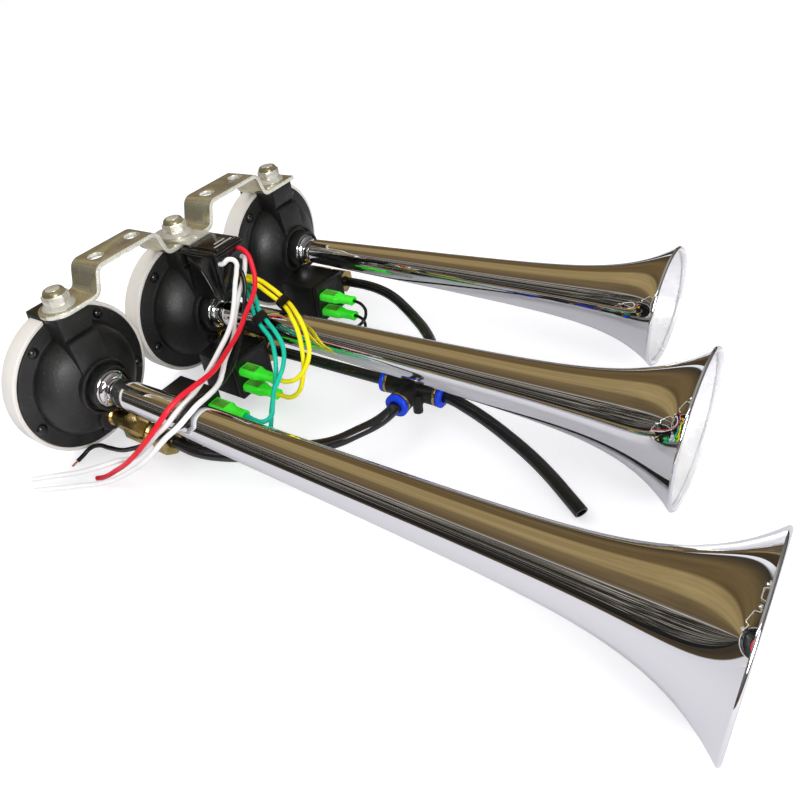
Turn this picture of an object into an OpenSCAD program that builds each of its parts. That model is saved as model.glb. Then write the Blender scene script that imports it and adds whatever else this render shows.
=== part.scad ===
// Three-trumpet electric air horn on one folded bracket.
// X runs from the diaphragms to the bell mouths, Y across the row and Z up.
// The origin is on the surface that the horn stands on, under the middle of its length.
// The working drawing below has its own zero at the middle horn's flange face, on its axis.

/* [Row of horns] */
// Gap between the covers of two neighbouring horns
cover_gap = 0.4; // [0.4:0.2:8]
// Flange face to mouth of the long trumpet
long_length = 325; // [300:5:380]
// Flange face to mouth of the middle trumpet
middle_length = 288; // [260:4:300]
// Flange face to mouth of the short trumpet
short_length = 253; // [220:3:262]

/* [Trumpets] */
// Mouth diameter of the long trumpet
long_mouth_d = 72; // [64:1:76]
// Mouth diameter of the middle trumpet
middle_mouth_d = 68; // [60:1:72]
// Mouth diameter of the short trumpet
short_mouth_d = 60; // [54:1:66]
// Outside diameter where the pipe leaves its neck
pipe_d = 16; // [14:0.5:16.5]
// Outside diameter that the straight taper would reach at the mouth
taper_d = 28.6; // [24:0.2:32]
// Length over which the bell opens by a factor of e
flare_reach = 20; // [16:1:26]
// Length of the flared end, which the tapered pipe runs into
bell_l = 60; // [50:5:80]
// Wall of the trumpet
trumpet_wall = 1; // [0.8:0.1:1.4]
// Thickness of the rolled rim
rim_bead = 2.4; // [2:0.1:3]
// Diameter of the neck between housing and pipe
neck_d = 13; // [12:0.5:13.5]
// Where the pipe's shoulder starts, from the flange face
pipe_start = 32; // [31:0.5:36]

/* [Diaphragm housing] */
// Diameter of the housing's flange
flange_d = 83; // [82:0.5:84]
// Thickness of the flange
flange_t = 3; // [2.6:0.1:4]
// Width of the flange's flat rim round the dome
rim_w = 8.5; // [8:0.5:9.5]
// Height of the dome's ellipse over the flange
dome_h = 19; // [18:0.5:21]
// Wall of the dome
dome_wall = 2.5; // [2:0.1:3]
// Outer diameter of the collar round the neck
collar_d = 32; // [30:0.5:33]
// Distance from flange face to the collar's outer edge
collar_x = 20.5; // [20:0.1:22]
// Diameter of the inner collar
inner_collar_d = 25.4; // [25:0.1:27]
// Distance from flange face to the inner collar's end
inner_collar_x = 26; // [25:0.1:27]
// Depth of the groove between the two collars
collar_groove = 2.5; // [1:0.1:3]
// Diameter of the neck ring
ring_d = 21.2; // [20:0.1:21.6]
// Length of the neck ring
ring_l = 5.4; // [4:0.1:6]

/* [Lug and bracket] */
// Width of the housing's lug
lug_w = 19; // [17:0.5:20]
// How far the lug's top stands over the flange's edge
lug_rise = 4.1; // [3:0.1:8.5]
// Front face of the lug's upper block
lug_front = 14; // [13:0.5:15]
// How far the lug reaches back over the cover
lug_back = 17; // [15:0.5:18]
// Stud line in front of the flange face
stud_x = 4.3; // [3:0.1:5]
// Diameter of the studs
stud_d = 8; // [7.6:0.1:8]
// Width of the bracket strip
strip_w = 23; // [20:0.5:24]
// Thickness of the bracket strip
strip_t = 2.5; // [2:0.1:3]
// Rise of the raised lands over the tabs
land_rise = 14.3; // [10:0.1:18]
// Half length of a raised land at its top
land_half = 21.4; // [20:0.1:24]
// How far a riser leans out over its height
riser_lean = 4.5; // [2:0.1:6]
// Distance between the two holes in a land
hole_spacing = 26.2; // [22:0.1:28]
// Diameter of the holes in the lands
hole_d = 9; // [8:0.1:10]
// Reach of the strip past the end studs
tab_reach = 11.5; // [10.5:0.1:13]
// Across flats of the nut's hexagon
nut_af = 13; // [12:0.1:14]
// Diameter of the nut's flange
nut_flange_d = 18.4; // [17:0.1:19]
// Height of the nut
nut_h = 11; // [9:0.1:12]

/* [Back cover] */
// Width of the cover's front rim round the flange
cover_rim = 2.2; // [1.8:0.1:3]
// Depth of the cover behind the flange face
cover_back = 14.5; // [13:0.5:16.5]
// How far the rim stands behind the flange face
rim_back = 1; // [0.4:0.1:1.5]

/* [Valves] */
// Length of the valve box along the horn
box_l = 29; // [27:0.5:30]
// Width of the valve box
box_w = 28; // [26:0.5:29]
// Height of the valve box
box_h = 25.5; // [23:0.5:26.5]
// Back of the long horn's valve box, from the flange face
long_box_x = 43; // [40:0.5:46]
// Back of the middle horn's valve box, from the flange face
middle_box_x = 36; // [33:0.5:40]
// Back of the short horn's valve box, from the flange face
short_box_x = 28.6; // [28:0.2:32]
// Drop of the brass stem under the horn's axis
stem_drop = 20.5; // [20:0.1:21.5]
// Sideways step of the brass stem
stem_side = 1.5; // [0:0.1:2]
// Across flats of the brass hexagons
brass_af = 14; // [13:0.1:14]
// Length of the inlet nut
inlet_nut_l = 10; // [9:0.1:11]
// Outside diameter of the air tube
tube_d = 6.4; // [6:0.1:6.4]
// Length of a terminal sleeve
sleeve_l = 24; // [20:0.5:26]
// Width of a terminal sleeve
sleeve_w = 9.6; // [9:0.1:10]
// Thickness of a terminal sleeve
sleeve_t = 5.6; // [5:0.1:6]

/* [Cross fitting] */
// Reach of a port from the fitting's centre
port_reach = 18.2; // [17:0.1:18.4]
// Diameter of the fitting's barrels
barrel_d = 12.2; // [11.6:0.1:12.4]
// Diameter of a release collar
release_d = 12.8; // [12.4:0.1:13.4]
// Length of the moulded post under the fitting
post_l = 9.5; // [8:0.5:13]

/* [Relay] */
// Length of the relay box in front of the lug
relay_l = 30; // [28:0.5:31]
// Width of the relay box
relay_w = 24; // [22:0.5:25]
// Height of the relay box
relay_h = 32; // [28:0.5:33]

/* [Hidden] */
$fn = 64;

fit = 0.15;
cut = 0.1;

// What the flange carries: the dome, the rivets, the lug and the cover, and so the row's pitch
dome_d = flange_d - 2 * rim_w;
rivet_inset = 3.9;
rivet_r = flange_d / 2 - rivet_inset;
lug_top = flange_d / 2 + lug_rise;
cover_d = flange_d + 4 * fit + 2 * cover_rim;
horn_pitch = cover_d + cover_gap;

// Seat of the trumpet's flange in the collar, and the neck ring in front of it
seat_step = 21.5;
neck_flange_t = 1.4;
ring_end = seat_step + neck_flange_t + ring_l;

// One row per horn: side, trumpet length, mouth diameter, valve box start, side of the box
LONG = [-1, long_length, long_mouth_d, long_box_x, 1];
MIDDLE = [0, middle_length, middle_mouth_d, middle_box_x, -1];
SHORT = [1, short_length, short_mouth_d, max(short_box_x, ring_end + 2 * fit), -1];
HORNS = [LONG, MIDDLE, SHORT];

// The part's own frame, seen from the drawing's zero
length_end = max([for (h = HORNS) h[1]]) + rim_bead / 2;
frame_x = (length_end - max(lug_back, cover_back)) / 2;
frame_z = cover_d / 2;

// Housing and diaphragm stack
gasket_t = 1;
diaphragm_t = 0.5;
diaphragm_r = dome_d / 2 + 1.2;
chamber_r = dome_d / 2 - dome_wall;
chamber_h = dome_h - dome_wall;
throat_tube_r = 9;
stack_back = -flange_t;
gasket_face = stack_back + diaphragm_t + gasket_t;
neck_r = neck_d / 2;
spigot_start = 8;
rivet_count = 5;
boss_r = 8.5;
boss_x = 18;
stem_ring_r = 5.2;

// Bracket levels
tab_z = lug_top + strip_t;
land_z = tab_z + land_rise;
strap_t = 1.2;
strap_front = 24;
strap_w = 17;
stud_top = nut_h - 0.6;
stud_depth = 16;

// Valve places
cap_l = 3;
cap_groove = 0.8;
nut_back_step = 3;
port_d = 10;
port_at = 10;
port_depth = 8;
spade_w = 6.3;
spade_t = 0.8;
spade_reach = 9;
spade_root = 4;
spade_side = 8;
spade_pitch = 11;
tube_fit = 0.15;

// Cross fitting place, in the drawing
cross_at = [158, 3, -21];

// Relay place, in the drawing
relay_x = 17;
relay_top = tab_z;
lid_h = 4.5;
lid_step = 1;
body_back = 21;
plug_hole = 3;

// Wire and tube sizes
lead_d = 2.8;
black_lead_d = 2.6;
link_d = 2.6;
thin_d = 2;

// Line of a valve stem and of its spades across the row
function stem_y(h) = h[0] * horn_pitch - h[4] * stem_side;
function spade_y(h) = stem_y(h) + h[4] * (brass_af / 2 + fit + box_w / 2 + spade_side);

// A tube's two points at its inlet nut, a wire's two at its sleeve and a tube's two at a port
function nut_end(h) = let (x = h[3] + box_l - cap_l)
    [[x - 5, stem_y(h), -stem_drop], [x + 3, stem_y(h), -stem_drop]];
function sleeve_end(h, s) = let (x = h[3] + box_l + sleeve_l, z = -stem_drop + s * spade_pitch / 2)
    [[x + 2, spade_y(h), z], [x - 7, spade_y(h), z]];
function port_end(a) = [for (r = [port_reach + 2.5, 8]) cross_at + r * [cos(a), sin(a), 0]];
function back_to_front(p) = [for (i = [len(p) - 1:-1:0]) p[i]];

// Routes, as points chosen by hand in the drawing
R_TUBE_LONG = concat(nut_end(LONG), [
    [85, -89, -21.5], [98, -84, -23], [110, -76, -24.5], [121, -66.5, -25], [132, -58, -24.5],
    [143, -50, -23.5], [151, -39, -22], [156.5, -28, -21.2]
], port_end(-90));
R_TUBE_MIDDLE = concat(nut_end(MIDDLE), [
    [80, 2, -20.5], [100, 2.4, -20.8], [120, 2.8, -21]
], port_end(180));
R_TUBE_SHORT = concat(nut_end(SHORT), [
    [73, 89.6, -20.5], [86, 87, -20.7], [98, 82, -21], [110, 74.5, -21.3], [122, 66, -21.6],
    [134, 56.5, -21.8], [145, 45, -21.6], [153, 34, -21.3]
], port_end(90));
R_SUPPLY = concat(back_to_front(port_end(0)), [
    [190, 0, -21.4], [203, -4.2, -22.6], [216, -9, -24.6], [229, -14.5, -27], [240, -20, -29.6],
    [249, -25.3, -32], [257, -30, -34.3]
]);
R_YELLOW_UPPER = concat([
    [43, 8, 24], [48, 8, 24], [55, 9.5, 22], [63, 9.5, 18.5], [72, 8, 15], [81, 4, 13.8],
    [90, -2, 13.6], [98, -7.5, 12], [104, -12, 7], [107.5, -16.5, 0], [107, -21.5, -7],
    [103.5, -25, -12], [98, -27.2, -14.6]
], sleeve_end(MIDDLE, 1));
R_YELLOW_LOWER = concat([
    [43, 4.6, 24], [48, 4.6, 24], [55, 5.8, 21.5], [63, 6, 17], [72, 5, 13.2], [81, 1, 12.2],
    [90, -5.8, 11.6], [97, -10.8, 8.6], [101.5, -15, 3], [104, -18.5, -5.5], [104, -22, -15],
    [102, -25, -22], [97.5, -27.3, -25.4]
], sleeve_end(MIDDLE, -1));
R_TEAL_UPPER = concat([
    [43, 6.4, 18.5], [48, 6.4, 18.5], [54, 3.5, 17.2], [60.5, -1.5, 15], [67, -7, 12.5],
    [76, -11.5, 10], [85, -15.5, 7], [91.5, -19, 2], [95, -24.5, -4.5], [97, -32, -9],
    [99, -40, -12], [104, -48, -14.5], [108, -55, -15.8], [107, -60, -15.6], [102.5, -61.2, -15.1]
], sleeve_end(LONG, 1));
R_TEAL_LOWER = concat([
    [43, 2.8, 18.5], [48, 2.8, 18.5], [54, -0.5, 16.5], [60, -5.5, 13.5], [66, -10.5, 10.5],
    [75, -15, 7.5], [83, -18.5, 4], [88, -23, -2.5], [92, -29.5, -10.5], [95, -37, -17],
    [98, -44, -22], [102.5, -51, -25.5], [106, -57, -26.6], [105, -60.5, -26.4], [101.5, -61, -26.1]
], sleeve_end(LONG, -1));
R_LINK_UPPER = concat(back_to_front(sleeve_end(SHORT, 1)), [
    [89, 59.5, -16], [93.5, 56, -18.5], [94, 51, -22], [89, 46.5, -25.5], [78, 44.5, -28],
    [64, 42.5, -29], [50, 38.5, -27.5], [38, 32, -21.5], [32, 25, -11], [32, 19.5, 1],
    [34, 17.5, 12], [34, 15.5, 19], [34, 12.4, 22], [34, 8.8, 22]
]);
R_LINK_LOWER = concat(back_to_front(sleeve_end(SHORT, -1)), [
    [88, 59.8, -27.5], [91, 56, -30.5], [89, 51, -33], [81, 48, -34], [68, 46.5, -34.2],
    [54, 43.5, -33], [42, 38, -29.5], [33, 31, -22], [28, 24, -11], [27, 19, 1],
    [28, 17.5, 12], [28, 15.5, 19], [28, 12.4, 22], [28, 8.8, 22]
]);
R_RED = [
    [43, 7, 42.5], [48, 7, 42.5], [53.5, 6.5, 40], [57, 5, 33], [59.5, 2, 25.5], [61.5, -4, 20],
    [63.5, -13, 15.5], [71.5, -30, 13], [79, -48, 12.8], [83, -58, 13], [86.5, -67, 14],
    [88, -79, 15.2], [87.6, -88.4, 15], [86.4, -95, 13.2], [84.6, -101, 9.4], [81, -106, 3.6],
    [73, -109.5, -5.5], [60, -113.5, -18.6], [46, -115.5, -29.6], [34, -118, -37.6],
    [28.5, -119.2, -39.8]
];
R_BLACK = [
    [43, -1, 37], [48, -1, 37], [52.5, -1, 34], [55.5, -2.5, 27], [57.5, -7.5, 18], [61, -14, 11],
    [64, -21, 7.5], [70, -31, 5], [80, -48, 3.8], [85, -60, 4], [88, -70, 5.6], [91.4, -80, 9.4],
    [92.6, -88.4, 11.3], [92.6, -93.8, 9.9], [91.2, -98.4, 5.6], [84, -99.8, -1.4], [72, -101.5, -8.5],
    [60, -102.5, -16.5], [48, -103, -23.2], [36, -103, -29], [22, -102.5, -33.2],
    [10, -103, -35.8], [5, -106, -38], [4, -110.5, -39.8], [4, -115, -40.6]
];
R_WHITE_UPPER = [
    [43, -8.6, 40], [48, -8.6, 40], [52, -6.5, 42.5], [54.5, -4.5, 40.5], [54.5, -5.5, 35],
    [54, -8, 29], [55, -12, 22.5], [58, -18, 17.5], [65, -30, 14], [74, -49, 12.5],
    [82, -67, 11.8], [86.6, -80, 11.2], [88.6, -88.4, 11.4], [88.4, -95, 9.8], [86.2, -100.8, 5.8],
    [79, -104.2, -1], [71, -107.4, -9.4], [57, -110, -20.8], [47, -111.8, -25],
    [36, -117.5, -29], [20, -124, -35], [5, -131, -38.4], [-9, -138, -41.4]
];
R_WHITE_LOWER = [
    [43, 8.4, 36], [48, 8.4, 36], [51, 5, 33], [51.5, 1.5, 27.5], [51.5, -4, 21], [54, -11, 16],
    [60, -21, 12.2], [67.8, -31, 10], [77.5, -49, 8.2], [84, -58, 8.2], [89.6, -67, 8.2],
    [94.6, -80, 10.4], [96.2, -88.4, 11.4], [96, -95, 9.8], [94.4, -101, 7], [88.4, -106, 1.4],
    [78, -112.5, -10], [62, -117.5, -22.5], [44, -122, -33.2], [25, -129, -38.8],
    [10, -137, -40.8], [0, -143, -41.4]
];

// Outer radius of a trumpet at a distance from the flange face
function bell_r(x, length, mouth_d) =
    let (t = (x - pipe_start) / (length - pipe_start))
    pipe_d / 2 + (taper_d - pipe_d) / 2 * t + (mouth_d - taper_d) / 2 * exp((x - length) / flare_reach);

// Points of an ellipse's quarter from its base to a given radius
function dome_points(r, h, r_end, n) =
    let (a_end = acos(r_end / r))
    [for (i = [0:n]) [r * cos(a_end * i / n), h * sin(a_end * i / n)]];

// Corners of a rounded rectangle
function slab_points(w, h, r, n = 4) = [
    for (c = [[1, 1, 0], [-1, 1, 90], [-1, -1, 180], [1, -1, 270]]) for (i = [0:n])
        [c[0] * (w / 2 - r) + r * cos(c[2] + 90 * i / n), c[1] * (h / 2 - r) + r * sin(c[2] + 90 * i / n)]
];

function unit(v) = v / norm(v);

// Direction of a route at one of its points
function heading(p, i) = unit(p[min(i + 1, len(p) - 1)] - p[max(i - 1, 0)]);

// Normals carried along a route without twist
function carried(p, i = 0, n = undef) =
    let (t = heading(p, i), m = is_undef(n) ? cross(t, [0.3, 0.4, 1]) : n - t * (n * t), u = unit(m))
    i == len(p) - 1 ? [u] : concat([u], carried(p, i + 1, u));

module drawing() {
    translate([-frame_x, 0, frame_z]) children();
}

module at_horn(h) {
    translate([0, h[0] * horn_pitch, 0]) children();
}

// Turns a shape drawn round Z so that it lies round X
module on_x() {
    rotate([0, 90, 0]) children();
}

module at_stem(h) {
    translate([0, stem_y(h), -stem_drop]) children();
}

// Round tube along a route, with a ring at each of its points
module route_tube(p, d, sides = 8) {
    n = carried(p);
    rings = [for (i = [0:len(p) - 1]) let (t = heading(p, i), b = cross(t, n[i])) for (k = [0:sides - 1])
        p[i] + d / 2 * (n[i] * cos(360 * k / sides) + b * sin(360 * k / sides))];
    last = (len(p) - 1) * sides;
    walls = [for (i = [0:len(p) - 2]) for (k = [0:sides - 1]) let (m = (k + 1) % sides)
        each [[i * sides + k, (i + 1) * sides + m, i * sides + m],
              [i * sides + k, (i + 1) * sides + k, (i + 1) * sides + m]]];
    ends = [[for (k = [0:sides - 1]) k], [for (k = [sides - 1:-1:0]) last + k]];
    polyhedron(rings, concat(walls, ends));
}

// Outside profile of a trumpet between two distances from the flange face, closer set towards the end
function bell_profile(h, x0, x1, steps, pull) = [for (i = [0:steps])
    let (x = x0 + (x1 - x0) * (1 - pow(1 - i / steps, pull))) [bell_r(x, h[1], h[2]), x]];
function inside_of(profile) = [for (i = [len(profile) - 1:-1:0]) profile[i] - [trumpet_wall, 0]];

module trumpet(h) {
    outer = bell_profile(h, pipe_start + 2, h[1] - bell_l, 8, 1);
    shoulder = pipe_d / 2 - neck_r;
    color("silver") at_horn(h) on_x() rotate_extrude() polygon(concat(
        [[neck_r, spigot_start], [neck_r, seat_step], [ring_d / 2 - 0.6, seat_step],
         [ring_d / 2 - 0.6, seat_step + neck_flange_t], [neck_r, seat_step + neck_flange_t]],
        [for (a = [0:22.5:90]) [neck_r + shoulder * sin(a), pipe_start + 2 - 2 * cos(a)]],
        outer, inside_of(outer),
        [[neck_r - trumpet_wall, pipe_start], [neck_r - trumpet_wall, spigot_start]]));
}

// Flared end of the trumpet, from where the tapered pipe ends to its rolled rim
module bell(h) {
    outer = bell_profile(h, h[1] - bell_l, h[1], 15, 1.5);
    color("silver") at_horn(h) on_x() {
        rotate_extrude() polygon(concat(outer, inside_of(outer)));
        translate([0, 0, h[1]]) rotate_extrude()
            translate([h[2] / 2 - rim_bead / 2, 0]) circle(d = rim_bead, $fn = 24);
    }
}

module neck_ring(h) {
    start = seat_step + neck_flange_t;
    color("gainsboro") at_horn(h) on_x() rotate_extrude() polygon([
        [neck_r + fit, start], [ring_d / 2, start], [ring_d / 2, start + ring_l - 2],
        [ring_d / 2 - 0.8, start + ring_l - 0.8], [ring_d / 2 - 2.2, start + ring_l],
        [neck_r + fit, start + ring_l]
    ]);
}

module lug_block() {
    toe = [16.5, lug_top - 14.5];
    foot = [18.5, collar_d / 2 - 4];
    rotate([90, 0, 0]) linear_extrude(height = lug_w, center = true) polygon([
        [-lug_back, lug_top - 7.2], [-lug_back + 1, lug_top], [lug_front, lug_top],
        [lug_front, toe[1] + 1.5], toe, foot, [10, 8], [-1, dome_d / 2 - 3], [-1, lug_top - 7.2]
    ]);
    // The lower block spreads towards the collar
    rotate([90, 0, 90]) linear_extrude(height = toe[0] + cut) polygon([
        [-lug_w / 2, toe[1]], [lug_w / 2, toe[1]], [lug_w / 2 + 3, 10], [-lug_w / 2 - 3, 10]
    ]);
}

module housing(h) {
    side_step = -h[4] * stem_side;
    inner_dome = dome_points(chamber_r, chamber_h, throat_tube_r, 8);
    color("dimgray") at_horn(h) difference() {
        union() {
            on_x() rotate_extrude() polygon(concat(
                [[0, stack_back], [flange_d / 2 - 0.4, stack_back], [flange_d / 2, stack_back + 0.4],
                 [flange_d / 2, -0.6], [flange_d / 2 - 0.6, 0]],
                dome_points(dome_d / 2, dome_h, collar_d / 2, 10),
                [[collar_d / 2, collar_x - 0.6], [collar_d / 2 - 0.6, collar_x],
                 [collar_d / 2 - 1.2, collar_x], [collar_d / 2 - 1.6, collar_x - collar_groove],
                 [inner_collar_d / 2, collar_x - collar_groove], [inner_collar_d / 2, inner_collar_x - 0.6],
                 [inner_collar_d / 2 - 0.6, inner_collar_x], [0, inner_collar_x]]));
            lug_block();
            translate([-1, side_step, -stem_drop]) on_x() cylinder(r = boss_r, h = boss_x + 1);
        }
        // Room for the trumpet's neck, its flange and the neck ring
        on_x() translate([0, 0, stack_back - 1]) cylinder(r = neck_r + fit, h = 40);
        on_x() translate([0, 0, seat_step]) cylinder(r = ring_d / 2 + fit, h = 10);
        // Diaphragm recess and air chamber round the throat tube
        on_x() translate([0, 0, stack_back - 1])
            cylinder(r = diaphragm_r + fit, h = 1 + diaphragm_t + cut);
        on_x() rotate_extrude() polygon(concat(
            [[throat_tube_r, stack_back + diaphragm_t], [diaphragm_r + fit, stack_back + diaphragm_t],
             [diaphragm_r + fit, gasket_face], [chamber_r, gasket_face]], inner_dome));
        // Air inlet from the valve stem
        translate([10, side_step, -stem_drop]) on_x() cylinder(r = 4.8 + fit, h = boss_x);
        translate([boss_x, side_step, -stem_drop]) on_x()
            cylinder(r = 6 + 2 * fit, h = collar_x - boss_x + 1);
        translate([stud_x, 0, lug_top - stud_depth]) cylinder(d = stud_d + 2 * fit, h = stud_depth + 1);
        for (i = [0:rivet_count - 1]) rotate([i * 360 / rivet_count, 0, 0])
            translate([stack_back - 1, 0, -rivet_r]) on_x() cylinder(d = 3 + 2 * fit, h = flange_t + 2);
    }
}

module cover(h) {
    out_r = cover_d / 2;
    color("ivory") at_horn(h) difference() {
        on_x() rotate_extrude() polygon([
            [0, -cover_back + 1.2], [14, -cover_back + 1.2], [15, -cover_back + 0.6],
            [34, -cover_back + 0.6], [35, -cover_back], [out_r - 1.6, -cover_back],
            [out_r - 0.4, -cover_back + 1], [out_r, -cover_back + 2.4], [out_r, -rim_back - 0.4],
            [out_r - 0.4, -rim_back], [flange_d / 2 + 2 * fit, -rim_back],
            [flange_d / 2 + 2 * fit, stack_back], [diaphragm_r - 3, stack_back],
            [diaphragm_r - 3, -cover_back + 4.2], [0, -cover_back + 4.2]
        ]);
        translate([-cover_back - 1, -lug_w / 2 - 2 * fit, lug_top - 7.5])
            cube([cover_back + 1, lug_w + 4 * fit, 20]);
        for (i = [0:rivet_count - 1]) rotate([i * 360 / rivet_count, 0, 0])
            translate([stack_back - 6, 0, -rivet_r]) on_x() cylinder(d = 3 + 2 * fit, h = 7);
    }
}

module diaphragm(h) {
    color("silver") at_horn(h) on_x() translate([0, 0, stack_back])
        cylinder(r = diaphragm_r, h = diaphragm_t);
}

module gasket(h) {
    color("black") at_horn(h) on_x() translate([0, 0, stack_back + diaphragm_t]) difference() {
        cylinder(r = diaphragm_r, h = gasket_t);
        translate([0, 0, -1]) cylinder(r = chamber_r + 0.5, h = gasket_t + 2);
    }
}

module cover_rivets() {
    head_r = 3.3;
    color("black") for (h = HORNS) at_horn(h) for (i = [0:rivet_count - 1])
        rotate([i * 360 / rivet_count, 0, 0]) translate([0, 0, -rivet_r]) on_x() {
            translate([0, 0, stack_back - 5]) cylinder(d = 3, h = flange_t + 5 + cut);
            rotate_extrude() polygon(concat([[0, 0]],
                [for (a = [0:15:90]) [head_r * cos(a), 2.2 * sin(a)]]));
        }
}

module lug_studs() {
    color("silver") for (h = HORNS) at_horn(h) translate([stud_x, 0, lug_top - stud_depth])
        cylinder(d = stud_d, h = stud_depth + strip_t + stud_top + nut_lift(h));
}

// The middle nut stands on the relay's strap
function nut_lift(h) = h[0] == 0 ? strap_t : 0;

module bracket_nuts() {
    color("lightgray") for (h = HORNS) at_horn(h) translate([stud_x, 0, tab_z + nut_lift(h)]) difference() {
        union() {
            rotate_extrude() polygon([[0, 0], [nut_flange_d / 2, 0], [nut_flange_d / 2, 0.9],
                [nut_af / 2, 2.4], [0, 2.4]]);
            intersection() {
                cylinder(d = nut_af / cos(30), h = nut_h - 2.6, $fn = 6);
                rotate_extrude() polygon([[0, 0], [nut_af, 0], [nut_af, nut_h - 5],
                    [nut_af / 2 - 0.3, nut_h - 2.6], [0, nut_h - 2.6]]);
            }
            rotate_extrude() polygon([[0, nut_h - 3], [nut_af / 2 - 0.5, nut_h - 3],
                [nut_af / 2 - 0.7, nut_h - 1.2], [nut_af / 2 - 1.6, nut_h], [0, nut_h]]);
        }
        translate([0, 0, -1]) cylinder(d = stud_d + 2 * fit, h = nut_h + 2);
    }
}

// A bend between two straight stretches of the strip
function bend(a, b, c, r) =
    let (p = b + unit(a - b) * r, q = b + unit(c - b) * r)
    [for (t = [0:0.2:1]) p * pow(1 - t, 2) + b * 2 * t * (1 - t) + q * t * t];

function strip_path() =
    let (half = horn_pitch / 2, mid = (lug_top + tab_z) / 2, high = land_z - strip_t / 2,
        foot = land_half + riser_lean,
        k = [[-horn_pitch - tab_reach, mid], [-half - foot, mid], [-half - land_half, high],
             [-half + land_half, high], [-half + foot, mid], [half - foot, mid], [half - land_half, high],
             [half + land_half, high], [half + foot, mid], [horn_pitch + tab_reach, mid]])
    concat([k[0]], [for (i = [1:8]) each bend(k[i - 1], k[i], k[i + 1], 4)], [k[9]]);

function strip_side(p, s) = [for (i = [0:len(p) - 1])
    let (t = heading(p, i)) p[i] + s * strip_t / 2 * [-t[1], t[0]]];

module bracket() {
    path = strip_path();
    upper = strip_side(path, 1);
    lower = strip_side(path, -1);
    count = len(path);
    color("darkkhaki") translate([stud_x, 0, 0]) difference() {
        intersection() {
            rotate([90, 0, 90]) linear_extrude(height = strip_w, center = true)
                polygon(concat(upper, [for (i = [count - 1:-1:0]) lower[i]]));
            union() {
                translate([0, -horn_pitch - tab_reach + strip_w / 2, 0]) cylinder(d = strip_w, h = 100);
                translate([-strip_w / 2, -horn_pitch - tab_reach + strip_w / 2, 0])
                    cube([strip_w, 2 * horn_pitch + 2 * tab_reach - strip_w / 2, 100]);
            }
        }
        for (y = [-1, 1]) for (s = [-1, 1])
            translate([0, y * horn_pitch / 2 + s * hole_spacing / 2, land_z - 10]) cylinder(d = hole_d, h = 20);
        for (y = [-1:1]) translate([0, y * horn_pitch, 0]) cylinder(d = stud_d + 4 * fit, h = 100);
    }
}

module valve_stem(h) {
    box_at = h[3];
    nut_at = box_at + box_l - cap_l - inlet_nut_l;
    hex_at = max(box_at - 8, inner_collar_x + 2 * fit);
    hex_end = box_at + 9;
    color("goldenrod") at_stem(h) {
        on_x() difference() {
            union() {
                rotate_extrude() polygon([
                    [0, 11], [4.8, 11], [4.8, boss_x], [stem_ring_r, boss_x], [stem_ring_r, boss_x + 1.6],
                    [4, boss_x + 2.2], [4.4, boss_x + 3], [6, max(hex_at - 1, boss_x + 4)],
                    [6, hex_end], [4.5, hex_end + 1], [4.5, nut_at + nut_back_step],
                    [0, nut_at + nut_back_step]
                ]);
                translate([0, 0, hex_at])
                    cylinder(d = brass_af / cos(30), h = hex_end - hex_at, $fn = 6);
            }
            translate([0, 0, 10]) cylinder(d = 4, h = nut_at + 10);
        }
        // Side port that carries the valve box
        translate([box_at + port_at, 0, 0]) rotate([-90 * h[4], 0, 0])
            cylinder(d = port_d, h = brass_af / 2 + port_depth - fit);
    }
}

module inlet_nut(h) {
    start = h[3] + box_l - cap_l - inlet_nut_l;
    color("gold") at_stem(h) on_x() translate([0, 0, start]) difference() {
        intersection() {
            cylinder(d = brass_af / cos(30), h = inlet_nut_l, $fn = 6);
            rotate_extrude() polygon([[0, 0], [brass_af / 2 - 0.2, 0], [brass_af, 2.6],
                [brass_af, inlet_nut_l - 2.6], [brass_af / 2 - 0.2, inlet_nut_l], [0, inlet_nut_l]]);
        }
        translate([0, 0, -1]) cylinder(r = 4.5 + fit, h = nut_back_step + 1 + fit);
        cylinder(d = tube_d + 2 * tube_fit, h = inlet_nut_l + 1);
    }
}

module valve_box(h) {
    side = h[4];
    color("black") at_stem(h) translate([h[3], side * (brass_af / 2 + fit + box_w / 2), 0]) difference() {
        rotate([90, 0, 90]) {
            linear_extrude(height = box_l - cap_l - cap_groove) polygon(slab_points(box_w, box_h, 1.2));
            linear_extrude(height = box_l - cut) polygon(slab_points(box_w - 1.6, box_h - 1.6, 1.2));
            translate([0, 0, box_l - cap_l]) linear_extrude(height = cap_l)
                difference() {
                    polygon(slab_points(box_w, box_h, 1.2));
                    polygon(slab_points(box_w - 5, box_h - 5, 1));
                }
            translate([0, 0, box_l - cap_l]) linear_extrude(height = cap_l - 0.8)
                polygon(slab_points(box_w - 4, box_h - 4, 1));
        }
        translate([port_at, -side * (box_w / 2 + 1), 0]) rotate([-90 * side, 0, 0])
            cylinder(d = port_d + 2 * fit, h = port_depth + 1);
        for (s = [-1, 1]) translate([box_l - spade_root, side * spade_side - spade_w / 2 - fit,
            s * spade_pitch / 2 - spade_t / 2 - fit])
            cube([spade_root + 1, spade_w + 2 * fit, spade_t + 2 * fit]);
    }
}

// Middle of a valve's spade root, seen from its horn's stem
function spade_at(h, s) = [h[3] + box_l, h[4] * (brass_af / 2 + fit + box_w / 2 + spade_side), s * spade_pitch / 2];

module valve_terminals() {
    color("gold") for (h = HORNS) at_stem(h) for (s = [-1, 1]) translate(spade_at(h, s)) {
        rotate([90, 0, 0]) linear_extrude(height = spade_w, center = true) polygon([
            [-spade_root + fit, -spade_t / 2], [spade_reach - 1, -spade_t / 2], [spade_reach, -0.1],
            [spade_reach, 0.1], [spade_reach - 1, spade_t / 2], [-spade_root + fit, spade_t / 2]
        ]);
    }
}

module sleeve_slab(x, w, t) {
    translate([x, 0, 0]) rotate([90, 0, 90]) linear_extrude(height = 0.2)
        polygon(slab_points(w, t, min(w, t) / 2 - 0.2, 3));
}

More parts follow.
